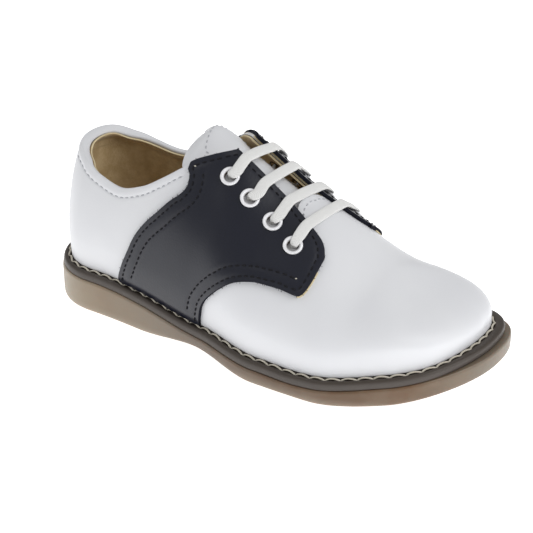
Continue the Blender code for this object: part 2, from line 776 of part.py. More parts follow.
def make_eyelets(material):
    bore, flange = EYELET_BORE / 2.0, EYELET_FLANGE / 2.0
    tube = bore + EYELET_TUBE_WALL
    foot = -EYELET_DEPTH
    low = EYELET_SEAT_GAP
    top = low + EYELET_HEIGHT
    soft = EYELET_RIM_ROUND
    profile = ((tube, top), (flange - soft, top - soft * 0.6), (flange, low), (tube, low),
               (tube, foot), (bore, foot), (bore, top - soft))
    mesh = bpy.data.meshes.new("eyelet")
    edges = [(i, (i + 1) % len(profile)) for i in range(len(profile))]
    mesh.from_pydata([(r, 0.0, z) for r, z in profile], edges, [])
    mesh.materials.append(material)
    for word, side in (("outer", -1), ("inner", 1)):
        for number, seat in enumerate(eyelet_seats(side), start=1):
            eyelet = bpy.data.objects.new(f"eyelet_{word}_{number}", mesh)
            shoe.objects.link(eyelet)
            eyelet.parent = frame
            eyelet.matrix_basis = seat
            turned = eyelet.modifiers.new("turned", "SCREW")
            turned.steps = EYELET_SIDES
            turned.render_steps = EYELET_SIDES
            turned.use_merge_vertices = True
            turned.merge_threshold = 0.00001
            turned.use_smooth_shade = True


def unit(vector):
    return vector / np.linalg.norm(vector)


def lace_stops():
    """Places the lace goes through, with the direction of its width at each."""
    seats = {side: lifted(*eyelet_spots(side), GAP + SADDLE_WALL) for side in (-1, 1)}
    outs = {side: last_normal(*eyelet_spots(side)) for side in (-1, 1)}
    rows = {side: unit(seats[side][-1] - seats[side][0]) for side in (-1, 1)}
    mouth = EYELET_SEAT_GAP + EYELET_HEIGHT
    under = EYELET_DEPTH + GAP * 4.0 + LACE_THICKNESS / 2.0
    over = mouth + GAP * 3.0 + LACE_THICKNESS / 2.0
    stops = []

    def through(side, index, downward):
        """Through an eyelet, where the lace turns its width from the row to across it."""
        point, out, row = seats[side][index], outs[side][index], rows[side]
        across = unit(np.cross(out, row))
        way = [(point + out * mouth, row),
               (point - out * EYELET_DEPTH * 0.17, unit(row + across)),
               (point - out * EYELET_DEPTH * 0.72, across),
               (point - out * EYELET_DEPTH * 1.22, across)]
        stops.extend(way if downward else way[::-1])

    def bar(side, index):
        """Across the throat from one facing to the other."""
        start, end = seats[side][index], seats[-side][index]
        for t in BAR_STOPS:
            x, y, _ = start * (1.0 - t) + end * t
            out = unit(outs[side][index] * (1.0 - t) + outs[-side][index] * t)
            share = np.array([x / SOLE_LENGTH])
            way = -1 if y < 0.0 else 1
            distance = np.array([max(abs(y), 0.02 * MM)])
            spot = (turn_of(share, way), climb_at(share, way, distance))
            dip = LACE_DIP * np.clip(1.0 - abs(y) / facing_line(share)[0], 0.0, 1.0)
            stops.append((lifted(*spot, GAP + SADDLE_WALL)[0] + out * (over - dip),
                          unit(rows[side] * (1.0 - t) + rows[-side] * t)))

    def riser(side, first, last):
        """Under the facing from one eyelet to the next."""
        out = unit(outs[side][first] + outs[side][last])
        for t in RISER_STOPS:
            point = seats[side][first] * (1.0 - t) + seats[side][last] * t
            stops.append((point - out * under, unit(np.cross(out, rows[side]))))

    side = -1
    for index in range(len(EYELETS) - 1, -1, -1):
        through(side, index, downward=False)
        bar(side, index)
        side = -side
        through(side, index, downward=True)
        if index > 0:
            riser(side, index, index - 1)
    return stops


def spline_through(points, per_span):
    """Smooth path through points, each span cut into the same number of steps."""
    points = np.asarray(points)
    padded = np.concatenate([[2.0 * points[0] - points[1]], points, [2.0 * points[-1] - points[-2]]])
    path = []
    for i in range(1, len(padded) - 2):
        a, b, c, d = padded[i - 1:i + 3]
        for t in np.arange(per_span) / per_span:
            path.append(0.5 * (2.0 * b + (c - a) * t + (2.0 * a - 5.0 * b + 4.0 * c - d) * t ** 2
                               + (3.0 * b - a - 3.0 * c + d) * t ** 3))
    path.append(padded[-2])
    return np.array(path)


def make_lace(material):
    stops = lace_stops()
    path = spline_through([point for point, wide in stops], LACE_STEPS)
    widths = spline_through([wide for point, wide in stops], LACE_STEPS)
    sides = LACE_SIDES
    points = []
    for i, point in enumerate(path):
        ahead = unit(path[min(i + 1, len(path) - 1)] - path[max(i - 1, 0)])
        wide = unit(widths[i] - ahead * (widths[i] @ ahead))
        thick = np.cross(ahead, wide)
        for k in range(sides):
            a = 2.0 * math.pi * (k + 0.5) / sides
            points.append(point + wide * math.cos(a) * LACE_WIDTH / 2.0
                          + thick * math.sin(a) * LACE_THICKNESS / 2.0)
    count = len(path)
    faces = [(i * sides + k, (i + 1) * sides + k, (i + 1) * sides + (k + 1) % sides,
              i * sides + (k + 1) % sides) for i in range(count - 1) for k in range(sides)]
    faces += [tuple(range(sides)), tuple((count - 1) * sides + k for k in range(sides))]
    return place(mesh_of("lace", points, faces), "lace", material)


remove_everything()
shoe = bpy.data.collections.new("saddle_shoe")
cutters = bpy.data.collections.new("cutters")
bpy.context.scene.collection.children.link(shoe)
bpy.context.scene.collection.children.link(cutters)
frame = bpy.data.objects.new("last_frame", None)
shoe.objects.link(frame)
outline = edge_point(loop_turns())
frame.location = (*(-(outline.min(axis=0) + outline.max(axis=0)) / 2.0), 0.0)

white = make_material("white_tongue_leather", WHITE_LEATHER, 0.45)
navy = make_material("navy_leather", NAVY_LEATHER, 0.35)
make_outsole()
make_welt()
make_insole()
collar = collar_cutter()
drill = eyelet_drill()
make_upper(collar, throat_cutter(), drill)
make_saddle("saddle_outer", -1, 0.0, navy, collar, drill)
make_saddle("saddle_inner", 1, SADDLE_INNER_SHIFT, navy, collar, drill)
make_tongue(white)
make_eyelets(make_material("white_metal", WHITE_ENAMEL, 0.3))
make_lace(make_material("white_lace", WHITE_COTTON, 0.9))
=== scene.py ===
import math
import bmesh
import bpy
import numpy as np
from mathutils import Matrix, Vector, geometry


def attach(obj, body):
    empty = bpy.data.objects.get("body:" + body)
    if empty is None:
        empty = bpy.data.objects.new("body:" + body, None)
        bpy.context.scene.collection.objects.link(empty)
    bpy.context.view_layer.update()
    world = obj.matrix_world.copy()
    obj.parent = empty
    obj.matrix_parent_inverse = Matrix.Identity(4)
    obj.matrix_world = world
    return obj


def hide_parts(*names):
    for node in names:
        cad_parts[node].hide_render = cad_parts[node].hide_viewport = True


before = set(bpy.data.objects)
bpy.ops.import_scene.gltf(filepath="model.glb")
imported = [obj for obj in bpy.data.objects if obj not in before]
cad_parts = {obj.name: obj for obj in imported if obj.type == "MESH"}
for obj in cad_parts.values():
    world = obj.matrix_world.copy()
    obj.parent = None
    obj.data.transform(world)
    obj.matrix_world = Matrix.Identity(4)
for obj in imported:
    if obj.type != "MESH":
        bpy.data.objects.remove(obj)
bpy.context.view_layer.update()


# Outsole: one piece of translucent brown rubber, thick under the heel and thin at the waist,
# with a smooth side. It is painted paler at the heel than at the toe: painted light that comes through the
# rubber.
MM = 0.001
SOLE_LENGTH = 170.0 * MM
HEEL_WIDTH = 54.8 * MM
WAIST_WIDTH = 55.4 * MM
BALL_WIDTH = 69.3 * MM
TOE_WIDTH = 66.6 * MM
TOE_SWING = 12.1 * MM
HEEL_THICKNESS = 12.3 * MM
WAIST_THICKNESS = 4.0 * MM
BALL_THICKNESS = 4.7 * MM
TOE_THICKNESS = 6.2 * MM
ARCH_RISE = 3.1 * MM
TOE_SPRING = 6.0 * MM
GAP = 0.3 * MM
ROUND_COLUMNS = 320
SOLID_COLUMNS = 68

# Share of length, width it follows, outer part, inner part, share of the toe's swing
PLAN = (
    (0.00, HEEL_WIDTH, 0.507, 0.493, 0.00),
    (0.14, HEEL_WIDTH, 0.507, 0.493, 0.00),
    (0.42, WAIST_WIDTH, 0.572, 0.428, 0.00),
    (0.60, BALL_WIDTH, 0.541, 0.424, 0.02),
    (0.72, BALL_WIDTH, 0.544, 0.456, 0.06),
    (0.86, TOE_WIDTH, 0.496, 0.504, 0.33),
    (1.00, TOE_WIDTH, 0.446, 0.454, 1.00),
)
HEEL_END_SHARE = 0.15
TOE_END_SHARE = 0.20
HEEL_END_POWER = 2.2
TOE_END_POWER = 2.3

# Share of length, share of the arch's rise, of the toe's spring, thickness it follows, part of it
SIDE = (
    (0.00, 0.0, 0.00, HEEL_THICKNESS, 1.00),
    (0.15, 0.0, 0.00, HEEL_THICKNESS, 1.00),
    (0.28, 0.0, 0.00, HEEL_THICKNESS, 0.87),
    (0.45, 1.0, 0.00, WAIST_THICKNESS, 1.00),
    (0.60, 0.0, 0.00, BALL_THICKNESS, 1.09),
    (0.68, 0.0, 0.00, BALL_THICKNESS, 1.00),
    (0.74, 0.0, 0.00, BALL_THICKNESS, 1.12),
    (0.87, 0.0, 0.28, TOE_THICKNESS, 1.07),
    (1.00, 0.0, 1.00, TOE_THICKNESS, 1.00),
)


def column(table, index):
    return np.array([row[index] for row in table])


def smooth(where, stations, values):
    """Curve through a short table that never overshoots its rows."""
    stations = np.asarray(stations, float)
    values = np.asarray(values, float)
    step = np.diff(stations)
    slope = np.diff(values) / step
    before, after = slope[:-1], slope[1:]
    level = before * after <= 0.0
    near = 2.0 * step[1:] + step[:-1]
    far = step[1:] + 2.0 * step[:-1]
    mean = near / np.where(level, 1.0, before) + far / np.where(level, 1.0, after)
    lean = np.concatenate(([slope[0]], np.where(level, 0.0, (near + far) / mean), [slope[-1]]))
    where = np.clip(where, stations[0], stations[-1])
    cell = np.clip(np.searchsorted(stations, where) - 1, 0, len(step) - 1)
    t = (where - stations[cell]) / step[cell]
    rest = 1.0 - t
    start = values[cell] * (1.0 + 2.0 * t) * rest ** 2 + step[cell] * lean[cell] * t * rest ** 2
    end = values[cell + 1] * t ** 2 * (3.0 - 2.0 * t) - step[cell] * lean[cell + 1] * t ** 2 * rest
    return start + end


def ease(value, low, high):
    """Soft step from 0 at low to 1 at high."""
    t = np.clip((np.asarray(value, float) - low) / (high - low), 0.0, 1.0)
    return t * t * (3.0 - 2.0 * t)


def table_curve(where, table, follows, part):
    """Size along the shoe: the named sizes of a table times their parts."""
    return smooth(where, column(table, 0), column(table, follows) * column(table, part))


def table_row(where, table, index):
    """One column of a table, read smoothly at a share of the length."""
    return smooth(where, column(table, 0), column(table, index))


def share_of(turn):
    """Share of the length at a turn, which is 0 at the heel and 0.5 at the toe."""
    return (1.0 - np.cos(2.0 * math.pi * turn)) / 2.0


def turn_of(share, side):
    """Turn at a share of the length, on the outer (-1) or the inner side (1)."""
    turn = np.arccos(1.0 - 2.0 * np.asarray(share, float)) / (2.0 * math.pi)
    return np.where(np.asarray(side) < 0, turn, 1.0 - turn)


def side_of(turn):
    return np.where(np.mod(turn, 1.0) < 0.5, -1.0, 1.0)


def edge_point(turn):
    """Place on the outsole's edge in plan."""
    share = share_of(turn)
    side = side_of(turn)
    heel = np.clip(1.0 - share / HEEL_END_SHARE, 0.0, 1.0)
    toe = np.clip(1.0 - (1.0 - share) / TOE_END_SHARE, 0.0, 1.0)
    ends = (1.0 - heel ** HEEL_END_POWER) ** (1.0 / HEEL_END_POWER)
    ends = ends * (1.0 - toe ** TOE_END_POWER) ** (1.0 / TOE_END_POWER)
    middle = table_row(share, PLAN, 4) * TOE_SWING
    half = np.where(side < 0, table_curve(share, PLAN, 1, 2), table_curve(share, PLAN, 1, 3)) * ends
    return np.stack([share * SOLE_LENGTH, middle + side * half], -1)


def inset_point(turn, inset):
    """Place in plan at an inset from the outsole's edge."""
    small = 1e-4
    along = edge_point(turn + small) - edge_point(turn - small)
    along = along / np.linalg.norm(along, axis=-1, keepdims=True)
    inward = np.stack([-along[..., 1], along[..., 0]], -1)
    return edge_point(turn) + inward * np.asarray(inset)[..., None]


def floor_height(share):
    """Height of the outsole's underside over the floor."""
    return table_row(share, SIDE, 1) * ARCH_RISE + table_row(share, SIDE, 2) * TOE_SPRING


def outsole_top(share):
    return floor_height(share) + table_curve(share, SIDE, 3, 4)


def round_loop(inset, height_at, lift=0.0):
    """Loop round the shoe at an inset from the outsole's edge, a lift over a height curve."""
    turn = np.arange(ROUND_COLUMNS) / ROUND_COLUMNS
    plan = inset_point(turn, np.broadcast_to(inset, turn.shape))
    height = height_at(plan[:, 0] / SOLE_LENGTH) + lift
    return np.concatenate([plan, height[:, None]], -1)


# The part's origin is the middle of its outsole, whose solid has fewer columns than this mesh.
plan_edge = edge_point(np.arange(SOLID_COLUMNS) / SOLID_COLUMNS)
LAST_TO_ROW = np.array([*(-(plan_edge.min(axis=0) + plan_edge.max(axis=0)) / 2.0), 0.0])


def skin(name, points, faces, finish, weld=0.0, crisp=35.0):
    """Smooth mesh piece from points in the last's own frame."""
    mesh = bpy.data.meshes.new(name)
    mesh.from_pydata((np.asarray(points, float) + LAST_TO_ROW).tolist(), [], faces)
    if weld > 0.0:
        body = bmesh.new()
        body.from_mesh(mesh)
        bmesh.ops.remove_doubles(body, verts=body.verts, dist=weld)
        body.to_mesh(mesh)
        body.free()
    mesh.materials.append(finish)
    mesh.shade_smooth()
    mesh.set_sharp_from_angle(angle=math.radians(crisp))
    piece = bpy.data.objects.new(name, mesh)
    bpy.context.scene.collection.objects.link(piece)
    return piece


def grid_faces(columns, rows, first=0, closed=False):
    """Quads over points that are laid out column by column."""
    last = columns if closed else columns - 1
    faces = []
    for i in range(last):
        a, b = first + i * rows, first + (i + 1) % columns * rows
        faces += [(a + j, b + j, b + j + 1, a + j + 1) for j in range(rows - 1)]
    return faces


def plate_of(name, loops, finish):
    """Closed plate: loops from the middle of its underside up its side to its top."""
    columns = len(loops[0])
    points = np.stack(loops, 1).reshape(-1, 3)
    rows = len(loops)
    faces = grid_faces(columns, rows, closed=True)
    half = columns // 2
    for ring, flip in ((0, False), (rows - 1, True)):
        cap = [[i, i + 1, columns - i - 1, (columns - i) % columns] for i in range(half)]
        for quad in cap:
            quad = list(dict.fromkeys(k % columns for k in quad))
            quad = [k * rows + ring for k in quad]
            faces.append(quad[::-1] if not flip else quad)
    return skin(name, points, faces, finish)


class Value:
    """A number that changes over a surface: sums on it add Math nodes."""

    def __init__(self, finish, socket):
        self.finish = finish
        self.socket = socket

    def reckon(self, operation, first, second):
        return self.finish.node("Math", {"operation": operation}, {0: first, 1: second})

    def __add__(self, other):
        return self.reckon("ADD", self, other)

    def __radd__(self, other):
        return self.reckon("ADD", other, self)

    def __sub__(self, other):
        return self.reckon("SUBTRACT", self, other)

    def __rsub__(self, other):
        return self.reckon("SUBTRACT", other, self)

    def __mul__(self, other):
        return self.reckon("MULTIPLY", self, other)

    def __rmul__(self, other):
        return self.reckon("MULTIPLY", other, self)

    def __truediv__(self, other):
        return self.reckon("DIVIDE", self, other)

    def __rtruediv__(self, other):
        return self.reckon("DIVIDE", other, self)


class Finish:
    """A piece's material: one Principled shader and what changes over its surface."""

    def __init__(self, name, **sockets):
        self.material = bpy.data.materials.new(name)
        self.material.use_nodes = True
        self.nodes = self.material.node_tree.nodes
        self.links = self.material.node_tree.links
        self.shader = self.nodes["Principled BSDF"]
        for socket, value in sockets.items():
            self.feed(self.shader.inputs[socket.replace("_", " ")], value)

    def feed(self, socket, value):
        if isinstance(value, Value):
            self.links.new(value.socket, socket)
        elif isinstance(value, tuple) and len(value) == 3 and socket.type == "RGBA":
            socket.default_value = (*value, 1.0)
        else:
            socket.default_value = value

    def node(self, kind, settings=None, inputs=None, output=0):
        """Any node: its settings come first, then the values or links of its sockets."""
        made = self.nodes.new("ShaderNode" + kind)
        for key, value in (settings or {}).items():
            if key == "stops":
                ramp = made.color_ramp.elements
                while len(ramp) < len(value):
                    ramp.new(0.5)
                for element, (place, colour) in zip(ramp, value):
                    element.position = place
                    element.color = (*colour, 1.0)
            else:
                setattr(made, key, value)
        for key, value in (inputs or {}).items():
            self.feed(made.inputs[key], value)
        return Value(self, made.outputs[output])

    def blend(self, share, first, second):
        return self.node("Mix", {"data_type": "RGBA"}, {0: share, 6: first, 7: second}, 2)

    def step(self, value, low, high):
        """Soft step from 0 to 1 between two values."""
        return self.node("MapRange", {"interpolation_type": "SMOOTHSTEP"},
                         {"Value": value, "From Min": low, "From Max": high})

    def place(self):
        """Place on the shoe, in metres."""
        return self.node("TexCoord", output=3)

    def axis(self, index):
        return self.node("SeparateXYZ", inputs={0: self.place()}, output=index)

    def cloud(self, size, detail=3.0, rough=0.5):
        """Soft noise with spots of a size in metres."""
        return self.node("TexNoise", {}, {"Vector": self.place(), "Scale": 1.0 / size,
                                          "Detail": detail, "Roughness": rough})

    def relief(self, height, depth):
        """Small relief of a depth in metres."""
        bump = self.node("Bump", {}, {"Height": height, "Distance": depth, "Strength": 1.0})
        self.feed(self.shader.inputs["Normal"], bump)

    def paint(self, **sockets):
        for socket, value in sockets.items():
            self.feed(self.shader.inputs[socket.replace("_", " ")], value)


def tone(red, green, blue):
    """Colour as it shows on a screen, from 0 to 255, turned into light."""
    parts = [v / 255.0 for v in (red, green, blue)]
    return tuple(v / 12.92 if v <= 0.04045 else ((v + 0.055) / 1.055) ** 2.4 for v in parts)


def wear(piece, slot, *nodes):
    """The piece rides on the shoe and stands for its solid."""
    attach(piece, "root")
    if nodes:
        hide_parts(*nodes)


def rubber_finish():
    """Brown rubber in bands along the shoe, a little cloudy; the pale heel end of the bands is painted
    light coming through the rubber, and the paler lower edge is a painted reflection of the bright floor.
    """
    finish = Finish("outsole_rubber", Roughness=0.42, Specular_IOR_Level=0.4,
                    Subsurface_Weight=0.15, Subsurface_Scale=0.004, Coat_Weight=0.06)
    along = finish.axis(0) / SOLE_LENGTH + 0.5
    # Bands along the shoe: the pale heel stops are painted light coming through the rubber, the rest is the
    # rubber's brown.
    ground = finish.node("ValToRGB", {"stops": (
        (0.00, tone(180, 174, 162)), (0.05, tone(156, 144, 126)), (0.18, tone(138, 122, 102)),
        (0.36, tone(126, 114, 100)), (0.50, tone(104, 90, 78)), (0.66, tone(98, 78, 60)),
        (0.90, tone(104, 80, 58)), (1.00, tone(116, 106, 92)),
    )}, {0: along})
    cloudy = finish.blend(finish.step(finish.cloud(0.012), 0.42, 0.62) * 0.30,
                          ground, tone(128, 112, 94))
    # Paler lower edge of the side: painted reflection of the bright floor.
    lower = 1.0 - finish.step(finish.axis(2), 0.0, 0.004)
    finish.paint(Base_Color=finish.blend(lower * 0.35, cloudy, tone(176, 166, 150)),
                 Roughness=0.36 + finish.cloud(0.003) * 0.14)
    finish.relief(finish.cloud(0.0012, 4.0), 0.00006)
    return finish.material


# Section of its edge from the underside to the top: inset in mm, height it follows, lift in mm
OUTSOLE_EDGE = (
    (6.00, floor_height, 0.00),
    (1.30, floor_height, 0.00),
    (0.75, floor_height, 0.12),
    (0.32, floor_height, 0.45),
    (0.08, floor_height, 1.00),
    (0.00, floor_height, 1.70),
    (0.00, outsole_top, -1.10),
    (0.10, outsole_top, -0.50),
    (0.40, outsole_top, -0.12),
    (0.90, outsole_top, 0.00),
    (8.00, outsole_top, 0.00),
)
outsole_loops = [round_loop(inset * MM, follows, lift * MM) for inset, follows, lift in OUTSOLE_EDGE]
outsole = plate_of("outsole_dressed", outsole_loops, rubber_finish())
wear(outsole, "sole_rubber", "outsole")


# Welt: a band of dark brown rubber with a rounded rim, laid on the outsole. Its ledge has a
# channel beside the upper, where a thick undyed thread locks the two together.
WELT_THICKNESS = 2.9 * MM
WELT_STEP = 0.5 * MM
WELT_TOE_STEP = 2.4 * MM
LEDGE_WIDTH = 3.1 * MM
LEDGE_TOE_WIDTH = 4.7 * MM
CHANNEL_INSET = 1.6 * MM
WELT_STITCH_PITCH = 5.2 * MM
WELT_STITCH_OVERLAP = 0.02
WELT_THREAD = 0.36 * MM
WELT_ROW = 0.95 * MM
THREAD_TAPER = 0.55


def welt_top(share):
    return outsole_top(share) + GAP + WELT_THICKNESS


def welt_step(turn):
    """How far the welt stands back from the outsole's edge, more at the toe."""
    share = share_of(turn)
    toe = np.where(side_of(turn) < 0, smooth(share, (0.0, 0.92, 1.0), (0.0, 0.0, 1.0)),
                   smooth(share, (0.0, 0.80, 1.0), (0.0, 0.0, 1.0)))
    return WELT_STEP + (WELT_TOE_STEP - WELT_STEP) * toe


def ledge_width(turn):
    """Width of the welt that shows outside the upper."""
    share = share_of(turn)
    toe = np.where(side_of(turn) < 0, smooth(share, (0.0, 0.93, 1.0), (0.0, 0.0, 1.0)),
                   smooth(share, (0.0, 0.72, 0.88, 1.0), (0.0, 0.0, 1.0, 1.0)))
    return LEDGE_WIDTH + (LEDGE_TOE_WIDTH - LEDGE_WIDTH) * toe


def welt_loops():
    """Section of the welt: its rim, the ledge with its channel, and the side inside the upper."""
    turn = np.arange(ROUND_COLUMNS) / ROUND_COLUMNS
    rim = welt_step(turn)
    foot = rim + ledge_width(turn)
    channel = foot - CHANNEL_INSET
    section = (
        (rim, 0.25, outsole_top, 0.05),
        (rim, 0.05, outsole_top, 0.30),
        (rim, 0.00, outsole_top, 0.70),
        (rim, 0.00, welt_top, -1.75),
        (rim, 0.07, welt_top, -1.20),
        (rim, 0.26, welt_top, -0.68),
        (rim, 0.58, welt_top, -0.28),
        (rim, 1.00, welt_top, -0.07),
        (channel, 0.00, welt_top, -0.04),
        (channel, 0.25, welt_top, -0.15),
        (channel, 0.50, welt_top, -0.50),
        (channel, 1.40, welt_top, -0.50),
        (channel, 1.75, welt_top, -0.20),
        (foot, 3.00, welt_top, -0.20),
        (foot, 3.00, outsole_top, 0.05),
    )
    return [round_loop(start + inset * MM, follows, lift * MM)
            for start, inset, follows, lift in section]


def welt_finish():
    """Dark rubber, painted by which way it faces: darker brown where it faces up, on the ledge, as painted
    shade, and lighter grey-brown on its side and rim, as painted light.
    """
    finish = Finish("welt_rubber", Specular_IOR_Level=0.35, Coat_Weight=0.05)
    upright = finish.node("SeparateXYZ", inputs={0: finish.node("NewGeometry", output=1)}, output=2)
    # Mask of up-facing surfaces for the painted shade on the ledge; the side band keeps the lighter painted
    # tone.
    up_facing_shade = finish.step(upright, 0.25, 0.8)
    band = finish.blend(finish.cloud(0.006) * 0.6, tone(70, 64, 60), tone(84, 77, 71))
    finish.paint(Base_Color=finish.blend(up_facing_shade, band, tone(62, 54, 47)),
                 Roughness=0.40 + finish.cloud(0.002) * 0.2)
    finish.relief(finish.cloud(0.0008, 4.0), 0.00005)
    return finish.material


loops = welt_loops()
welt = skin("welt_dressed", np.stack(loops + loops[:1], 1).reshape(-1, 3),
            grid_faces(ROUND_COLUMNS, len(loops) + 1, closed=True), welt_finish(), weld=0.001 * MM)
wear(welt, "welt_rubber", "welt")


def unit(vectors):
    vectors = np.asarray(vectors, float)
    return vectors / np.maximum(np.linalg.norm(vectors, axis=-1, keepdims=True), 1e-12)


def sewn(name, runs, radius, finish, sides=6, flat=1.0):
    """Threads swept along short runs of points, each with the leather's outward direction."""
    points, faces = [], []
    for run, outs in runs:
        run, outs = np.asarray(run), unit(outs)
        first, count = len(points), len(run)
        ahead = unit(np.gradient(run, axis=0))
        wide = unit(np.cross(ahead, outs))
        up = np.cross(wide, ahead)
        for i in range(count):
            size = radius * (THREAD_TAPER if i in (0, count - 1) else 1.0)
            for k in range(sides):
                a = 2.0 * math.pi * k / sides
                points.append(run[i] + wide[i] * math.cos(a) * size + up[i] * math.sin(a) * size * flat)
        faces += [(first + i * sides + k, first + i * sides + (k + 1) % sides,
                   first + (i + 1) * sides + (k + 1) % sides, first + (i + 1) * sides + k)
                  for i in range(count - 1) for k in range(sides)]
        faces.append([first + k for k in range(sides)][::-1])
        faces.append([first + (count - 1) * sides + k for k in range(sides)])
    return skin(name, points, faces, finish, crisp=80.0)


def thread_finish(name, colour, dark):
    finish = Finish(name, Roughness=0.8, Specular_IOR_Level=0.25)
    finish.paint(Base_Color=finish.blend(finish.cloud(0.0009) * 0.6, colour, dark))
    finish.relief(finish.cloud(0.0003), 0.00006)
    return finish.material


def along_path(path):
    """Distance along a path at each of its points."""
    return np.concatenate([[0.0], np.cumsum(np.linalg.norm(np.diff(path, axis=0), axis=1))])


def welt_stitches():
    """Stitches that bow towards the upper and dip into the channel at both ends."""
    fine = np.linspace(0.0, 1.0, 3001)[:-1]
    far = along_path(inset_point(fine, welt_step(fine) + ledge_width(fine) - WELT_ROW))
    count = int(far[-1] / WELT_STITCH_PITCH)
    t = np.linspace(0.0, 1.0, 11)
    across = (-0.35 + 0.75 * np.sin(math.pi * t ** 0.6)) * MM
    rise = (-0.6 + 0.9 * np.sin(math.pi * np.clip(t, 0.02, 0.98)) ** 0.5) * MM
    outs = np.tile((0.0, 0.0, 1.0), (len(t), 1))
    runs = []
    for k in range(count):
        at = (k - WELT_STITCH_OVERLAP + (1.0 + 2.0 * WELT_STITCH_OVERLAP) * t) / count
        turn = np.interp(at * far[-1], far, fine)
        plan = inset_point(turn, welt_step(turn) + ledge_width(turn) - WELT_ROW + across)
        height = welt_top(plan[:, 0] / SOLE_LENGTH) + rise
        runs.append((np.concatenate([plan, height[:, None]], -1), outs))
    return runs


welt_thread = sewn("welt_stitching", welt_stitches(), WELT_THREAD,
                   thread_finish("undyed_thread", tone(208, 202, 188), tone(168, 160, 146)), 8, 0.8)
wear(welt_thread, "welt_rubber")


# Insole: a board covered with the same tan lining leather as the upper, seen only through the
# collar. It lies on the outsole inside the welt.
INSOLE_THICKNESS = 4.1 * MM
WELT_WIDTH = 7.0 * MM


def lining_finish(name, colour, patch, pile):
    """Brushed lining leather: soft patches and a fine nap."""
    finish = Finish(name, Specular_IOR_Level=0.2, Sheen_Weight=0.15)
    patches = finish.step(finish.cloud(0.007, 5.0, 0.65), 0.38, 0.66)
    nap = finish.cloud(0.0007, 3.0)
    ground = finish.blend(patches, colour, patch)
    finish.paint(Base_Color=finish.blend(nap * 0.35, ground, pile), Roughness=0.78 + nap * 0.15)
    finish.relief(nap, 0.00012)
    return finish.material


tan = lining_finish("tan_lining", tone(198, 172, 128), tone(220, 196, 152), tone(176, 150, 108))
cream = lining_finish("cream_cut_edge", tone(220, 206, 170), tone(204, 188, 150), tone(184, 166, 126))
insole_turn = np.arange(ROUND_COLUMNS) / ROUND_COLUMNS
insole_inset = welt_step(insole_turn) + WELT_WIDTH + GAP
insole = plate_of("insole_dressed", [
    round_loop(insole_inset + 9.0 * MM, outsole_top, GAP),
    round_loop(insole_inset, outsole_top, GAP),
    round_loop(insole_inset, outsole_top, GAP + INSOLE_THICKNESS - 0.8 * MM),
    round_loop(insole_inset + 0.3 * MM, outsole_top, GAP + INSOLE_THICKNESS - 0.2 * MM),
    round_loop(insole_inset + 1.0 * MM, outsole_top, GAP + INSOLE_THICKNESS),
    round_loop(insole_inset + 9.0 * MM, outsole_top, GAP + INSOLE_THICKNESS - 0.3 * MM),
], tan)
wear(insole, "tan_lining", "insole")


# Upper: quarters and vamp of smooth white leather over the last, with a lightly padded topline
# that is sewn off by one row. The facings are cut back where the saddle covers them.
HEEL_COLLAR_HEIGHT = 60.0 * MM
ANKLE_COLLAR_HEIGHT = 49.3 * MM
THROAT_HEIGHT = 67.6 * MM
INSTEP_HEIGHT = 56.4 * MM
BALL_HEIGHT = 46.0 * MM
TOE_BOX_HEIGHT = 34.4 * MM
BELLY = 1.4 * MM
BELT_RISE = 10.0 * MM
THROAT_WIDTH = 14.0 * MM
UPPER_LEATHER = 1.0 * MM
HEEL_POLE_SHARE = 0.145
TOE_POLE_SHARE = 0.78
BELT_SHARE = 3.0 / 13.0
THROAT_END_SHARE = 0.600
THROAT_END_BULGE = 0.012
TOPLINE_PAD_WIDTH = 3.4 * MM
TOPLINE_PAD = 0.30 * MM
TOPLINE_GROOVE = 0.22 * MM
TOPLINE_GROOVE_WIDTH = 0.35 * MM
COLLAR_END_SHARE = 0.36
FACING_CUT_BACK = 1.6 * MM
QUARTER_COLUMNS = 301
QUARTER_ROWS = 36
VAMP_COLUMNS = 161
CROWN_ROWS = 15
LIP_ROWS = 7

# Share of length, height it follows, part of it for the ridge, belly outer and inner as parts
# of BELLY, rise of the belt as part of BELT_RISE
LAST = (
    (0.00, HEEL_COLLAR_HEIGHT, 1.44, 0.3, 0.3, 1.0),
    (0.05, HEEL_COLLAR_HEIGHT, 1.30, 0.3, 0.3, 1.0),
    (0.10, HEEL_COLLAR_HEIGHT, 1.15, 0.8, 0.8, 1.0),
    (0.18, ANKLE_COLLAR_HEIGHT, 1.37, 1.0, 1.2, 1.1),
    (0.27, ANKLE_COLLAR_HEIGHT, 1.49, 1.2, 2.2, 1.2),
    (0.36, THROAT_HEIGHT, 1.15, 1.2, 2.8, 1.3),
    (0.46, THROAT_HEIGHT, 1.01, 1.2, 2.8, 1.3),
    (0.57, INSTEP_HEIGHT, 1.00, 1.2, 2.0, 1.1),
    (0.68, BALL_HEIGHT, 1.00, 1.0, 1.0, 0.9),
    (0.78, BALL_HEIGHT, 0.78, 0.8, 0.3, 0.8),
    (0.88, TOE_BOX_HEIGHT, 0.87, 0.5, -0.8, 0.8),
    (1.00, TOE_BOX_HEIGHT, 0.80, 0.2, 0.0, 0.35),
)

# Share of length, how square the crown is across on the outer and inner side, and upwards
CROWN = (
    (0.00, 2.45, 2.45, 1.6),
    (0.15, 1.8, 2.1, 1.6),
    (0.27, 1.8, 2.5, 1.6),
    (0.37, 1.9, 2.2, 1.6),
    (0.47, 2.2, 2.0, 1.6),
    (0.57, 1.8, 1.9, 1.6),
    (0.68, 2.0, 2.0, 1.7),
    (0.78, 2.1, 2.0, 1.8),
    (0.88, 2.3, 2.3, 2.3),
    (1.00, 2.15, 2.15, 2.1),
)

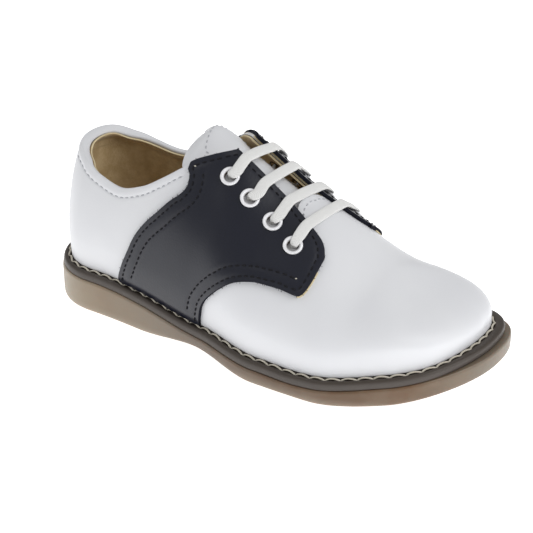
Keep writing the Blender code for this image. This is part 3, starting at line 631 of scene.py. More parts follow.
# Collar line in side view: share of length, height it follows, part of it
COLLAR = (
    (-0.10, HEEL_COLLAR_HEIGHT, 1.01),
    (0.01, HEEL_COLLAR_HEIGHT, 1.01),
    (0.055, HEEL_COLLAR_HEIGHT, 0.975),
    (0.100, HEEL_COLLAR_HEIGHT, 0.915),
    (0.147, ANKLE_COLLAR_HEIGHT, 1.045),
    (0.206, ANKLE_COLLAR_HEIGHT, 1.005),
    (0.27, ANKLE_COLLAR_HEIGHT, 1.068),
    (0.318, ANKLE_COLLAR_HEIGHT, 1.164),
    (0.365, ANKLE_COLLAR_HEIGHT, 1.272),
    (0.40, THROAT_HEIGHT, 0.980),
    (0.44, THROAT_HEIGHT, 1.005),
    (0.48, THROAT_HEIGHT, 1.01),
)

# Facing line in plan: share of length, half its gap as part of THROAT_WIDTH
FACING = (
    (0.34, 0.50),
    (0.45, 0.52),
    (0.57, 0.54),
    (0.597, 0.60),
    (0.622, 0.68),
    (0.652, 0.79),
    (0.669, 0.87),
    (0.685, 1.06),
    (0.693, 1.35),
    (0.697, 1.60),
)


def crown_power(share, side):
    """How square the crown is across, on the outer or the inner side."""
    return np.where(np.asarray(side) < 0, table_row(share, CROWN, 1), table_row(share, CROWN, 2))


def last_point(turn, climb):
    """Point on the outside of the upper: climb runs from the welt (0) to the ridge (1)."""
    share = share_of(turn)
    side = side_of(turn)
    foot = inset_point(turn, welt_step(turn) + ledge_width(turn))
    base = welt_top(foot[..., 0] / SOLE_LENGTH) + GAP
    pole_x = np.clip(foot[..., 0], HEEL_POLE_SHARE * SOLE_LENGTH, TOE_POLE_SHARE * SOLE_LENGTH)
    pole = np.stack([pole_x, table_row(pole_x / SOLE_LENGTH, PLAN, 4) * TOE_SWING], -1)
    spoke = foot - pole
    reach = np.linalg.norm(spoke, axis=-1)
    spoke = spoke / reach[..., None]
    belly = np.where(side < 0, table_row(share, LAST, 3), table_row(share, LAST, 4)) * BELLY
    belt = base + table_row(share, LAST, 5) * BELT_RISE
    low = np.clip(climb / BELT_SHARE, 0.0, 1.0)
    high = np.clip((climb - BELT_SHARE) / (1.0 - BELT_SHARE), 0.0, 1.0) * math.pi / 2.0
    out = reach + belly * np.sin(low * math.pi / 2.0)
    out = out * np.maximum(np.cos(high), 0.0) ** (2.0 / crown_power(share, side))
    plan = pole + spoke * out[..., None]
    ridge = table_curve(plan[..., 0] / SOLE_LENGTH, LAST, 1, 2)
    height = base + (belt - base) * low
    height = height + (ridge - belt) * np.sin(high) ** (2.0 / table_row(share, CROWN, 3))
    return np.concatenate([plan, height[..., None]], -1)


def climb_at(share, side, distance):
    """Climb at which the upper's surface is a distance away from its ridge."""
    turn = turn_of(share, side)
    reach = abs(last_point(turn, np.full_like(turn, BELT_SHARE))[..., 1]
                - last_point(turn, np.ones_like(turn))[..., 1])
    high = np.arccos(np.clip(distance / reach, 0.0, 1.0) ** (crown_power(share, side) / 2.0))
    return BELT_SHARE + (1.0 - BELT_SHARE) * high / (math.pi / 2.0)


def last_normal(turn, climb):
    """Outward direction of the upper's surface."""
    small = 1e-3
    climb = np.clip(climb, small, 1.0 - 2.0 * small)
    round_way = last_point(turn + small, climb) - last_point(turn - small, climb)
    up_way = last_point(turn, climb + small) - last_point(turn, climb - small)
    return unit(np.cross(round_way, up_way))


def lifted(turn, climb, lift):
    """Point a lift outside the upper's surface, or inside it when the lift is negative."""
    lift = np.asarray(lift)[..., None] if np.ndim(lift) else lift
    return last_point(turn, climb) + last_normal(turn, climb) * lift


def facing_line(share):
    """Half the gap between the two facings."""
    return table_row(share, FACING, 1) * THROAT_WIDTH


def collar_climb(turn):
    """Climb of the topline at each turn, and 1 where the topline passes over the ridge."""
    ladder = np.linspace(BELT_SHARE, 1.0, 260)
    turns, climbs = np.meshgrid(turn, ladder, indexing="ij")
    points = last_point(turns, climbs)
    over = points[..., 2] - table_curve(points[..., 0] / SOLE_LENGTH, COLLAR, 1, 2)
    first = (over > 0.0).argmax(axis=1)
    crossed = (over > 0.0).any(axis=1) & (first > 0)
    rows = np.arange(len(turn))
    low, high = over[rows, first - 1], over[rows, first]
    share = np.where(crossed, -low / np.where(high == low, 1.0, high - low), 0.0)
    return np.where(crossed, ladder[first - 1] + (ladder[1] - ladder[0]) * share, 1.0)


def facing_climb(turn, back=0.0):
    """Climb of the facing's edge, or of a line that far back from it."""
    share = np.clip(share_of(turn), FACING[0][0], FACING[-1][0])
    edge = climb_at(share, side_of(turn), facing_line(share) + back)
    return np.where(share_of(turn) < COLLAR_END_SHARE, 1.0, edge)


def leather_columns(turn, top, count):
    """Climbs in even steps up to a top line, and the length up the leather at each."""
    climbs = top[:, None] * np.linspace(0.0, 1.0, count)
    points = last_point(*np.broadcast_arrays(turn[:, None], climbs))
    steps = np.linalg.norm(np.diff(points, axis=1), axis=-1)
    return climbs, np.concatenate([np.zeros((len(points), 1)), np.cumsum(steps, axis=1)], axis=1)


THROAT_TURN = float(turn_of(THROAT_END_SHARE, -1))
TOP_ROWS = np.array([7.0, 6.0, 5.2, 4.6, 4.1, 3.75, 3.5, 3.25, 2.9, 2.4, 1.8, 1.2, 0.7, 0.3, 0.0]) * MM


def rising_columns(turn, top):
    """Climbs from the welt to the top line, closer together in the last millimetres."""
    climbs = []
    for steps, arc in zip(*leather_columns(turn, top, 80)):
        lower = np.linspace(0.0, arc[-1] - TOP_ROWS[0], QUARTER_ROWS)[:-1]
        climbs.append(np.interp(np.concatenate([lower, arc[-1] - TOP_ROWS]), arc, steps))
    return np.array(climbs)


def quarter_top(turn):
    """Top line of the white leather: the topline, then the facing cut back under the saddle."""
    back = FACING_CUT_BACK * (1.0 - ease(share_of(turn), 0.570, 0.598))
    return np.minimum(collar_climb(turn), facing_climb(turn, back))


def upper_surface():
    """Open surface of the white leather: quarters, vamp and the vamp's rear lip."""
    quarter_turn = np.linspace(-THROAT_TURN, THROAT_TURN, QUARTER_COLUMNS)
    climb = rising_columns(quarter_turn, quarter_top(quarter_turn))
    turns = np.broadcast_to(quarter_turn[:, None], climb.shape)
    below = np.concatenate([np.full(QUARTER_ROWS - 1, 1.0), TOP_ROWS])
    bulge = np.sin(math.pi * np.clip(below / TOPLINE_PAD_WIDTH, 0.0, 1.0)) ** 0.7
    pad = np.where(below < TOPLINE_PAD_WIDTH, TOPLINE_PAD * bulge, 0.0)
    pad = pad - TOPLINE_GROOVE * np.exp(-((below - TOPLINE_PAD_WIDTH) / TOPLINE_GROOVE_WIDTH) ** 2)
    collar = 1.0 - ease(share_of(quarter_turn), COLLAR_END_SHARE, 0.385)
    points = [lifted(turns, climb, pad[None, :] * collar[:, None]).reshape(-1, 3)]
    faces = grid_faces(*climb.shape)

    vamp_turn = np.linspace(THROAT_TURN, 1.0 - THROAT_TURN, VAMP_COLUMNS)
    share = np.linspace(0.0, 1.0, VAMP_COLUMNS)[:, None]
    lower = climb[-1] * (1.0 - share) + climb[0] * share
    upper = 1.0 - (1.0 - lower[:, -1:]) * (1.0 - np.linspace(0.0, 1.0, CROWN_ROWS)[None, 1:])
    climb = np.concatenate([lower, upper], axis=1)
    vamp = last_point(np.broadcast_to(vamp_turn[:, None], climb.shape), climb)
    half = VAMP_COLUMNS // 2
    vamp[half + 1:, -1] = vamp[:half, -1][::-1]
    faces += grid_faces(*climb.shape, first=len(points[0]))
    points.append(vamp.reshape(-1, 3))

    for side, climbs in ((-1, climb[0, lower.shape[1] - 1:]), (1, climb[-1, lower.shape[1] - 1:])):
        spot = last_point(turn_of(np.full(len(climbs), THROAT_END_SHARE), side), climbs)
        away = abs(spot[:, 1] - spot[-1, 1])
        start = THROAT_END_SHARE - THROAT_END_BULGE * (1.0 - (away / away[0]) ** 4)
        t = np.linspace(0.0, 1.0, LIP_ROWS)[:, None]
        shares = start * (1.0 - t) + THROAT_END_SHARE * t
        lip = last_point(turn_of(shares, side), np.broadcast_to(climbs, shares.shape))
        lip[:, -1] = last_point(turn_of(shares[:, -1], -1), np.ones(LIP_ROWS))
        patch = grid_faces(*shares.shape, first=sum(map(len, points)))
        faces += patch if side < 0 else [face[::-1] for face in patch]
        points.append(lip.reshape(-1, 3))
    return np.concatenate(points), faces


def leather_finish(name, colour, shade, roughness, grain, **fixed):
    """Smooth dressed leather with a fine pore grain and a light finish coat."""
    finish = Finish(name, Coat_Roughness=0.3, **fixed)
    pores = finish.node("TexVoronoi", {}, {"Vector": finish.place(), "Scale": 1.0 / grain})
    broad = finish.cloud(0.030, 2.0)
    finish.paint(Base_Color=finish.blend(finish.step(broad, 0.35, 0.7) * 0.5, colour, shade),
                 Roughness=roughness + finish.cloud(0.004) * 0.10)
    finish.relief(pores * 0.6 + finish.cloud(grain * 0.6) * 0.4, 0.00003)
    return finish


def wall(piece, thickness, rim=0, round_edge=0.3 * MM):
    """Real thickness inwards, with its cut edges rounded a little."""
    shell = piece.modifiers.new("wall", "SOLIDIFY")
    shell.thickness = thickness
    shell.offset = -1.0
    shell.use_even_offset = False
    shell.material_offset_rim = rim
    edge = piece.modifiers.new("edge", "BEVEL")
    edge.width = round_edge
    edge.segments = 2
    edge.limit_method = "ANGLE"
    edge.angle_limit = math.radians(60.0)
    edge.harden_normals = True


white_leather = leather_finish("white_leather", tone(219, 220, 223), tone(213, 214, 218), 0.38,
                               0.0006, Specular_IOR_Level=0.35, Coat_Weight=0.05).material
upper = skin("upper_leather", *upper_surface(), white_leather, weld=0.03 * MM, crisp=60.0)
wall(upper, UPPER_LEATHER)
wear(upper, "white_leather", "upper")


# Lining: tan leather glued inside the quarters. It ends under the folded topline, reaches the
# facings' edge below the saddle, and has a cross seam under the ankle.
LINING_LEATHER = 0.7 * MM
LINING_DROP = 0.5 * MM
ROLL_HALF = 1.0 * MM
HEEL_ROLL_HALF = 1.9 * MM
LEAN_DEPTH = 5.0 * MM
LINING_TOP_ROWS = np.array([5.0, 4.0, 3.0, 2.2, 1.5, 0.9, 0.4, 0.0]) * MM
GLUE = 0.05 * MM
SEAM_STEP = 0.35 * MM
SEAM_STEP_HALF = 0.25 * MM
SEAM_END_SHARE = 0.41
SEAM_ROW = 0.9 * MM
BACKING_WIDTH = 1.5 * MM
BACKING_THICKNESS = 0.45 * MM
BACKING_START_SHARE = 0.385
BACKING_LEAST_CLIMB = 0.012


def roll_half(share):
    """Half the thickness of the topline's roll, which is fuller behind the heel."""
    return HEEL_ROLL_HALF + (ROLL_HALF - HEEL_ROLL_HALF) * ease(share, 0.02, 0.16)


def seam_height(share):
    """Height of the lining's cross seam over the floor."""
    return smooth(share, (0.0, 0.08, 0.18, 1.0), (51.0 * MM, 50.0 * MM, 46.0 * MM, 45.5 * MM))


def lining_surface():
    """Lining up to the topline: it leans in under the roll and steps at its cross seam."""
    turn = np.linspace(-THROAT_TURN, THROAT_TURN, 241)
    share = share_of(turn)
    collar = 1.0 - ease(share, COLLAR_END_SHARE, 0.40)
    top = np.minimum(collar_climb(turn), facing_climb(turn, 0.15 * MM))
    climbs, near = [], []
    for steps, arc, fall in zip(*leather_columns(turn, top, 60), LINING_DROP * collar):
        end = arc[-1] - fall
        wanted = np.concatenate([np.linspace(0.0, end - LEAN_DEPTH, 26)[:-1], end - LINING_TOP_ROWS])
        climbs.append(np.interp(wanted, arc, steps))
        near.append(end - wanted)
    climb, near = np.array(climbs), np.array(near)
    turns = np.broadcast_to(turn[:, None], climb.shape)
    lean = (1.0 - ease(near, 0.0, LEAN_DEPTH)) * collar[:, None]
    inner_roll = np.maximum(2.0 * roll_half(share) - UPPER_LEATHER - 0.1 * MM, 0.0)[:, None]
    seam = seam_height(share)[:, None]
    step = ease(last_point(turns, climb)[..., 2], seam - SEAM_STEP_HALF, seam + SEAM_STEP_HALF)
    step = step * (1.0 - ease(share, 0.40, 0.46))[:, None]
    lift = -(UPPER_LEATHER + GLUE) - lean * inner_roll - SEAM_STEP * step
    return lifted(turns, climb, lift).reshape(-1, 3), grid_faces(*climb.shape)


lining = skin("quarter_lining", *lining_surface(), tan, crisp=60.0)
lining.data.materials.append(cream)
wall(lining, LINING_LEATHER, rim=1, round_edge=0.2 * MM)
wear(lining, "tan_lining")


def row_runs(points, outs, pitch, gap, high, deep):
    """Stitches along a line of points on the leather."""
    far = along_path(points)
    count = int(far[-1] / pitch)
    t = np.linspace(0.0, 1.0, 7)
    runs = []
    for k in range(count):
        at = (k + gap / 2.0 + (1.0 - gap) * t) / count * far[-1]
        line = np.stack([np.interp(at, far, points[:, i]) for i in range(3)], -1)
        out = unit(np.stack([np.interp(at, far, outs[:, i]) for i in range(3)], -1))
        rise = deep + (high - deep) * np.sin(math.pi * t) ** 0.5
        runs.append((line + out * rise[:, None], out))
    return runs


def seam_line(shift):
    """Line along the lining's cross seam, and the direction into the shoe."""
    end = float(turn_of(SEAM_END_SHARE, -1))
    turn = np.linspace(-end, end, 301)
    ladder = np.linspace(0.0, 1.0, 200)
    points = last_point(*np.broadcast_arrays(turn[:, None], ladder[None, :]))
    wanted = seam_height(share_of(turn)) + shift
    climb = np.array([np.interp(z, line[:, 2], ladder) for z, line in zip(wanted, points)])
    return lifted(turn, climb, -(UPPER_LEATHER + GLUE + LINING_LEATHER)), -last_normal(turn, climb)


seam_thread = thread_finish("seam_thread", tone(206, 184, 142), tone(150, 126, 86))
seam_runs = [seam_line(0.0)]
seam_runs += row_runs(*seam_line(SEAM_ROW), 2.3 * MM, 0.4, 0.1 * MM, -0.25 * MM)
wear(sewn("lining_seam", seam_runs, 0.24 * MM, seam_thread, flat=0.8), "tan_lining")

# Each facing has a cream backing strip behind its edge.
for word, side in (("outer", -1), ("inner", 1)):
    turn = turn_of(np.linspace(BACKING_START_SHARE, THROAT_END_SHARE, 60), side)
    edge = np.minimum(facing_climb(turn, 0.1 * MM), collar_climb(turn))
    inner = np.minimum(facing_climb(turn, BACKING_WIDTH), edge - BACKING_LEAST_CLIMB)
    climb = inner[:, None] + (edge - inner)[:, None] * np.linspace(0.0, 1.0, 4)[None, :]
    turns = np.broadcast_to(turn[:, None], climb.shape)
    faces = grid_faces(*climb.shape)
    backing = skin("facing_backing_" + word, lifted(turns, climb, -0.1 * MM).reshape(-1, 3),
                   faces if side < 0 else [face[::-1] for face in faces], cream, crisp=60.0)
    wall(backing, BACKING_THICKNESS, round_edge=0.1 * MM)
    wear(backing, "tan_lining")


# Topline roll: the quarters' white leather, folded over a soft padding that is thicker behind
# the heel. It closes the gap between the white leather and the lining all round the collar.
ROLL_HEIGHT = 0.95 * MM
ROLL_END_SHARE = 0.372


def roll_points():
    """Sections of the roll, from one end under the saddle round the heel to the other."""
    end = float(turn_of(ROLL_END_SHARE, -1))
    turn = np.linspace(-end, end, 261)
    climb = collar_climb(turn)
    edge, outs = last_point(turn, climb), last_normal(turn, climb)
    ahead = unit(np.gradient(edge, axis=0))
    up = unit(np.cross(outs, ahead))
    up = up * np.sign(up[:, 2:3])
    half = roll_half(share_of(turn))
    centre = edge - outs * (half - 0.12 * MM)[:, None] - up * (ROLL_HEIGHT * 0.85)
    angle = np.linspace(0.0, 2.0 * math.pi, 19)
    across = np.sign(np.cos(angle)) * abs(np.cos(angle)) ** 0.8
    high = np.sign(np.sin(angle)) * abs(np.sin(angle)) ** 0.8
    return (centre[:, None] + outs[:, None] * (half[:, None] * across[None, :])[..., None]
            + up[:, None] * (ROLL_HEIGHT * high)[None, :, None])


sections = roll_points()
roll = skin("topline_roll", sections.reshape(-1, 3), grid_faces(*sections.shape[:2]), white_leather,
            weld=0.001 * MM, crisp=80.0)
wear(roll, "white_leather")


# Saddle: two panels of navy leather with cut edges, laid over the waist of the upper from the
# welt to the facings and sewn round with black thread in single and double rows.
SADDLE_LEATHER = 1.35 * MM
SADDLE_LIFT = 1.5 * MM
EYELET_DISTANCE = 16.0 * MM
EYELET_BORE = 4.0 * MM
SADDLE_INNER_SHIFT = 0.005
SHIFT_START = 0.52
SHIFT_LENGTH = 0.10
GROOVE_DEPTH = 0.16 * MM
GROOVE_WIDTH = 0.55 * MM
FOOT_FOLD = 0.55 * MM
FOOT_FOLD_HEIGHT = 2.4 * MM
LAID_START_SHARE = 0.16
LAID_END_SHARE = 0.80
LAID_ROWS = 241
LAID_HEIGHT = 120.0 * MM
EDGE_STEP = 0.6 * MM
EDGE_CLEAR = 0.4 * MM
FOOT_CLEAR = 0.1 * MM
PANEL_CELL = 0.75 * MM
PANEL_ROW = 0.87 * PANEL_CELL
HOLE_SIDES = 24
HOLE_CLEAR = 0.35 * MM
MM_PER_METRE = 1000.0

# Saddle in side view: share of length, height as part of INSTEP_HEIGHT
SADDLE_BACK = (
    (0.216, 0.18),
    (0.221, 0.274),
    (0.238, 0.404),
    (0.257, 0.525),
    (0.274, 0.640),
    (0.299, 0.748),
    (0.328, 0.839),
    (0.358, 0.932),
    (0.380, 0.987),
    (0.391, 1.040),
    (0.390, 1.090),
    (0.379, 1.135),
    (0.376, 1.170),
)
SADDLE_FRONT = (
    (0.691, 0.760),
    (0.691, 0.700),
    (0.686, 0.630),
    (0.676, 0.600),
    (0.654, 0.609),
    (0.633, 0.620),
    (0.608, 0.624),
    (0.586, 0.626),
    (0.565, 0.617),
    (0.538, 0.592),
    (0.510, 0.535),
    (0.489, 0.478),
    (0.467, 0.400),
    (0.457, 0.343),
    (0.451, 0.280),
    (0.445, 0.206),
    (0.441, 0.140),
)

# Eyelets of one side from the top one down: share of length, distance from the ridge as part
# of EYELET_DISTANCE
EYELETS = (
    (0.463, 0.94),
    (0.511, 1.01),
    (0.568, 1.04),
    (0.626, 1.18),
)


class Laid:
    """One side of the upper laid flat: length along the shoe, and length up the leather."""

    def __init__(self, side):
        self.side = side
        self.shares = np.linspace(LAID_START_SHARE, LAID_END_SHARE, 161)
        self.ladder = np.linspace(0.0, 1.0, LAID_ROWS)
        turns, climbs = np.meshgrid(turn_of(self.shares, side), self.ladder, indexing="ij")
        self.points = lifted(turns, climbs, SADDLE_LIFT)
        steps = np.linalg.norm(np.diff(self.points, axis=1), axis=-1)
        self.arcs = np.concatenate([np.zeros((len(steps), 1)), np.cumsum(steps, axis=1)], axis=1)
        self.ups = np.linspace(0.0, LAID_HEIGHT, 481)
        self.climbs = np.array([np.interp(self.ups, arc, self.ladder) for arc in self.arcs])

    def between(self, share):
        """Column before a share of the length, and how far the share is on to the next one."""
        cell = float(np.interp(share, self.shares, np.arange(len(self.shares))))
        low = int(min(cell, len(self.shares) - 2))
        return low, cell - low

    def flat(self, share, climb):
        """Flat place of a point on the upper."""
        low, part = self.between(share)
        a = np.interp(climb, self.ladder, self.arcs[low])
        b = np.interp(climb, self.ladder, self.arcs[low + 1])
        return np.array([share * SOLE_LENGTH, a + (b - a) * part])

    def seen(self, share, level, axis):
        """Flat place of the point at a length share whose height (2) or distance out (1) is given."""
        at = share
        for _ in range(6):
            low, part = self.between(at)
            points = self.points[low] + (self.points[low + 1] - self.points[low]) * part
            value = points[:, 2] if axis == 2 else -self.side * points[:, 1]
            start = 0 if axis == 2 else int(BELT_SHARE * (LAID_ROWS - 1))
            wanted = level if axis == 2 else -level
            climb = np.interp(wanted, np.maximum.accumulate(value[start:]), self.ladder[start:])
            at += share - np.interp(climb, self.ladder, points[:, 0]) / SOLE_LENGTH
        return self.flat(at, climb)

    def turn_climb(self, places):
        """Turns and climbs of flat places."""
        share = places[:, 0] / SOLE_LENGTH
        cell = np.interp(share, self.shares, np.arange(len(self.shares)))
        cell = np.clip(cell, 0, len(self.shares) - 1.001)
        up = np.interp(places[:, 1], self.ups, np.arange(len(self.ups)))
        up = np.clip(up, 0, len(self.ups) - 1.001)
        low, row = cell.astype(int), up.astype(int)
        across, rise = cell - low, up - row
        below = self.climbs[low, row] * (1 - across) + self.climbs[low + 1, row] * across
        above = self.climbs[low, row + 1] * (1 - across) + self.climbs[low + 1, row + 1] * across
        return turn_of(share, self.side), below * (1 - rise) + above * rise

    def raised(self, places, lift=SADDLE_LIFT):
        """Flat places put back on the shoe, at the saddle's face or at another lift."""
        return lifted(*self.turn_climb(places), lift)

    def outward(self, places):
        return last_normal(*self.turn_climb(places))


def side_curve(table, shift, count):
    """Smooth line through a side-view table, shared out by distance."""
    rows = np.array(table)
    points = np.stack([(rows[:, 0] + shift) * SOLE_LENGTH, rows[:, 1] * INSTEP_HEIGHT], -1)
    far = along_path(points)
    at = np.linspace(0.0, far[-1], count)
    return np.stack([smooth(at, far, points[:, 0]), smooth(at, far, points[:, 1])], -1)


def even(path, pitch, closed=False):
    """Path with its points a pitch apart."""
    path = np.asarray(path)
    if closed:
        path = np.concatenate([path, path[:1]])
    far = along_path(path)
    count = max(2, int(round(far[-1] / pitch)) + 1)
    at = np.linspace(0.0, far[-1], count)
    if closed:
        at = at[:-1]
    return np.stack([np.interp(at, far, path[:, k]) for k in range(path.shape[1])], -1)


def saddle_lines(laid, shift):
    """The saddle's edges on the flat leather: back, top with facing, front and foot."""
    back = [laid.seen(x / SOLE_LENGTH, z, 2) for x, z in side_curve(SADDLE_BACK, 0.0, 46)
            if z < table_curve(np.array([x / SOLE_LENGTH]), COLLAR, 1, 2)[0]]
    back = [place for place in back if place[1] > EDGE_CLEAR]
    top = []
    for share in np.linspace(0.380, 0.686, 90):
        moved = share + shift * min(max((share - SHIFT_START) / SHIFT_LENGTH, 0.0), 1.0)
        side_top = collar_climb(turn_of(np.array([moved]), laid.side))[0] if moved < 0.47 else 1.0
        facing = laid.seen(moved, facing_line(np.array([share]))[0], 1)
        collar_place = laid.flat(moved, side_top)
        top.append(facing if facing[1] < collar_place[1] else collar_place)
    front = [laid.seen(x / SOLE_LENGTH, z, 2) for x, z in side_curve(SADDLE_FRONT, shift, 76)]
    front = [place for place in front if place[1] > EDGE_CLEAR]
    foot = [(front[-1][0], FOOT_CLEAR), (back[0][0], FOOT_CLEAR)]
    return np.array(back), np.array(top), np.array(front), np.array(foot)


def inside(places, loop):
    """Which places lie inside a closed loop."""
    x, y = places[:, :1], places[:, 1:2]
    ax, ay = loop[:, 0][None], loop[:, 1][None]
    bx, by = np.roll(loop[:, 0], -1)[None], np.roll(loop[:, 1], -1)[None]
    spans = (ay > y) != (by > y)
    cross = ax + (y - ay) * (bx - ax) / np.where(by == ay, 1e-12, by - ay)
    return (spans & (x < cross)).sum(axis=1) % 2 == 1


def distance_to(places, loop, closed=True):
    """Distance of each place from a line."""
    a = loop if closed else loop[:-1]
    b = np.roll(loop, -1, axis=0) if closed else loop[1:]
    ab = b - a
    t = ((places[:, None] - a[None]) * ab[None]).sum(-1) / np.maximum((ab ** 2).sum(-1), 1e-18)[None]
    near = a[None] + ab[None] * np.clip(t, 0.0, 1.0)[..., None]
    return np.linalg.norm(places[:, None] - near, axis=-1).min(axis=1)


def cut_panel(loop, holes, radius):
    """Triangles of a flat panel with round holes, from evenly spread points."""
    loop = even(loop, EDGE_STEP, closed=True)
    angles = np.linspace(0.0, 2.0 * math.pi, HOLE_SIDES + 1)[:-1]
    ring = radius * np.stack([np.cos(angles), np.sin(angles)], -1)
    low, high = loop.min(axis=0), loop.max(axis=0)
    xs, ys = np.meshgrid(np.arange(low[0], high[0], PANEL_CELL),
                         np.arange(low[1], high[1], PANEL_ROW), indexing="ij")
    xs = xs + (np.arange(xs.shape[1]) % 2)[None, :] * PANEL_CELL / 2.0
    field = np.stack([xs.ravel(), ys.ravel()], -1)
    field = field[inside(field, loop)]
    field = field[distance_to(field, loop) > EDGE_CLEAR]
    for hole in holes:
        field = field[np.linalg.norm(field - hole, axis=1) > radius + HOLE_CLEAR]
    places, edges = [], []
    for outline in [loop, *(hole + ring for hole in holes)]:
        first, count = len(places), len(outline)
        edges += [(first + i, first + (i + 1) % count) for i in range(count)]
        places += [*outline]
    places = [Vector(place * MM_PER_METRE) for place in [*places, *field]]
    result = geometry.delaunay_2d_cdt(places, edges, [], 0, 1e-5)
    spots = np.array([tuple(v) for v in result[0]]) / MM_PER_METRE
    triangles = np.array([face for face in result[2] if len(face) == 3])
    middle = spots[triangles].mean(axis=1)
    keep = inside(middle, loop)
    for hole in holes:
        keep &= np.linalg.norm(middle - hole, axis=1) > radius * 0.98
    triangles = triangles[keep]
    a, b, c = (spots[triangles[:, k]] for k in range(3))
    turned = (b[:, 0] - a[:, 0]) * (c[:, 1] - a[:, 1]) < (b[:, 1] - a[:, 1]) * (c[:, 0] - a[:, 0])
    triangles[turned] = triangles[turned][:, ::-1]
    return spots, triangles


def eyelet_places(side):
    """Turns and climbs of one side's eyelets, from the top one down."""
    share = column(EYELETS, 0)
    return turn_of(share, side), climb_at(share, side, column(EYELETS, 1) * EYELET_DISTANCE)


navy = leather_finish("navy_leather", tone(15, 18, 32), tone(12, 15, 27), 0.27, 0.0007,
                      Specular_IOR_Level=0.46)
navy_edge = Finish("navy_cut_edge", Roughness=0.85, Specular_IOR_Level=0.15)
navy_edge.paint(Base_Color=navy_edge.blend(navy_edge.cloud(0.0005), tone(14, 15, 22), tone(34, 36, 46)))
navy_edge.relief(navy_edge.cloud(0.0003), 0.0001)


def inward(path, distance, loop):
    """Line inside a closed loop, a distance in from a stretch of its edge."""
    path = even(path, 0.4 * MM)
    ahead = unit(np.gradient(path, axis=0))
    sideways = np.stack([ahead[:, 1], -ahead[:, 0]], -1)
    moved = path + sideways * distance
    if inside(moved, loop).mean() < 0.5:
        moved = path - sideways * distance
    keep = inside(moved, loop) & (distance_to(moved, loop) > distance * 0.94)
    return moved[keep]


def dashes(path, laid, pitch, gap, high, deep, jitter=0.0, seed=1):
    """Stitches along a flat line: each rises out of the leather and dives back at its ends."""
    chance = np.random.default_rng(seed)
    path = even(path, 0.25 * MM)
    far = along_path(path)
    count = max(1, int(round(far[-1] / pitch)))
    rise = deep + (high - deep) * np.sin(math.pi * np.linspace(0.0, 1.0, 7)) ** 0.5
    runs = []
    for k in range(count):
        at = np.linspace((k + gap / 2.0) / count * far[-1], (k + 1 - gap / 2.0) / count * far[-1], 7)
        places = np.stack([np.interp(at, far, path[:, 0]), np.interp(at, far, path[:, 1])], -1)
        places = places + chance.normal(0.0, jitter, 2)
        outs = laid.outward(places)
        runs.append((laid.raised(places) + outs * rise[:, None], outs))
    return runs


def frayed(loop, laid, count, seed):
    """Short fibres that stand out of the cut edge."""
    chance = np.random.default_rng(seed)
    loop = even(loop, 0.3 * MM, closed=True)
    ahead = unit(np.roll(loop, -1, axis=0) - np.roll(loop, 1, axis=0))
    runs = []
    for k in chance.integers(0, len(loop), count):
        away = np.array([ahead[k, 1], -ahead[k, 0]])
        if inside((loop[k] + away * 0.3 * MM)[None], loop)[0]:
            away = -away
        reach = chance.uniform(0.25, 0.75) * MM
        lean = ahead[k] * chance.uniform(-0.5, 0.5) * MM
        ends = np.array([loop[k] - away * 0.4 * MM, loop[k] + away * reach * 0.5 + lean * 0.3,
                         loop[k] + away * reach + lean])
        if ends[:, 1].min() > 1.5 * MM:
            turn, climb = laid.turn_climb(ends)
            outs = last_normal(turn, climb)
            lift = SADDLE_LIFT - chance.uniform(0.15, 1.0) * MM
            runs.append((last_point(turn, climb) + outs * lift, outs))
    return runs


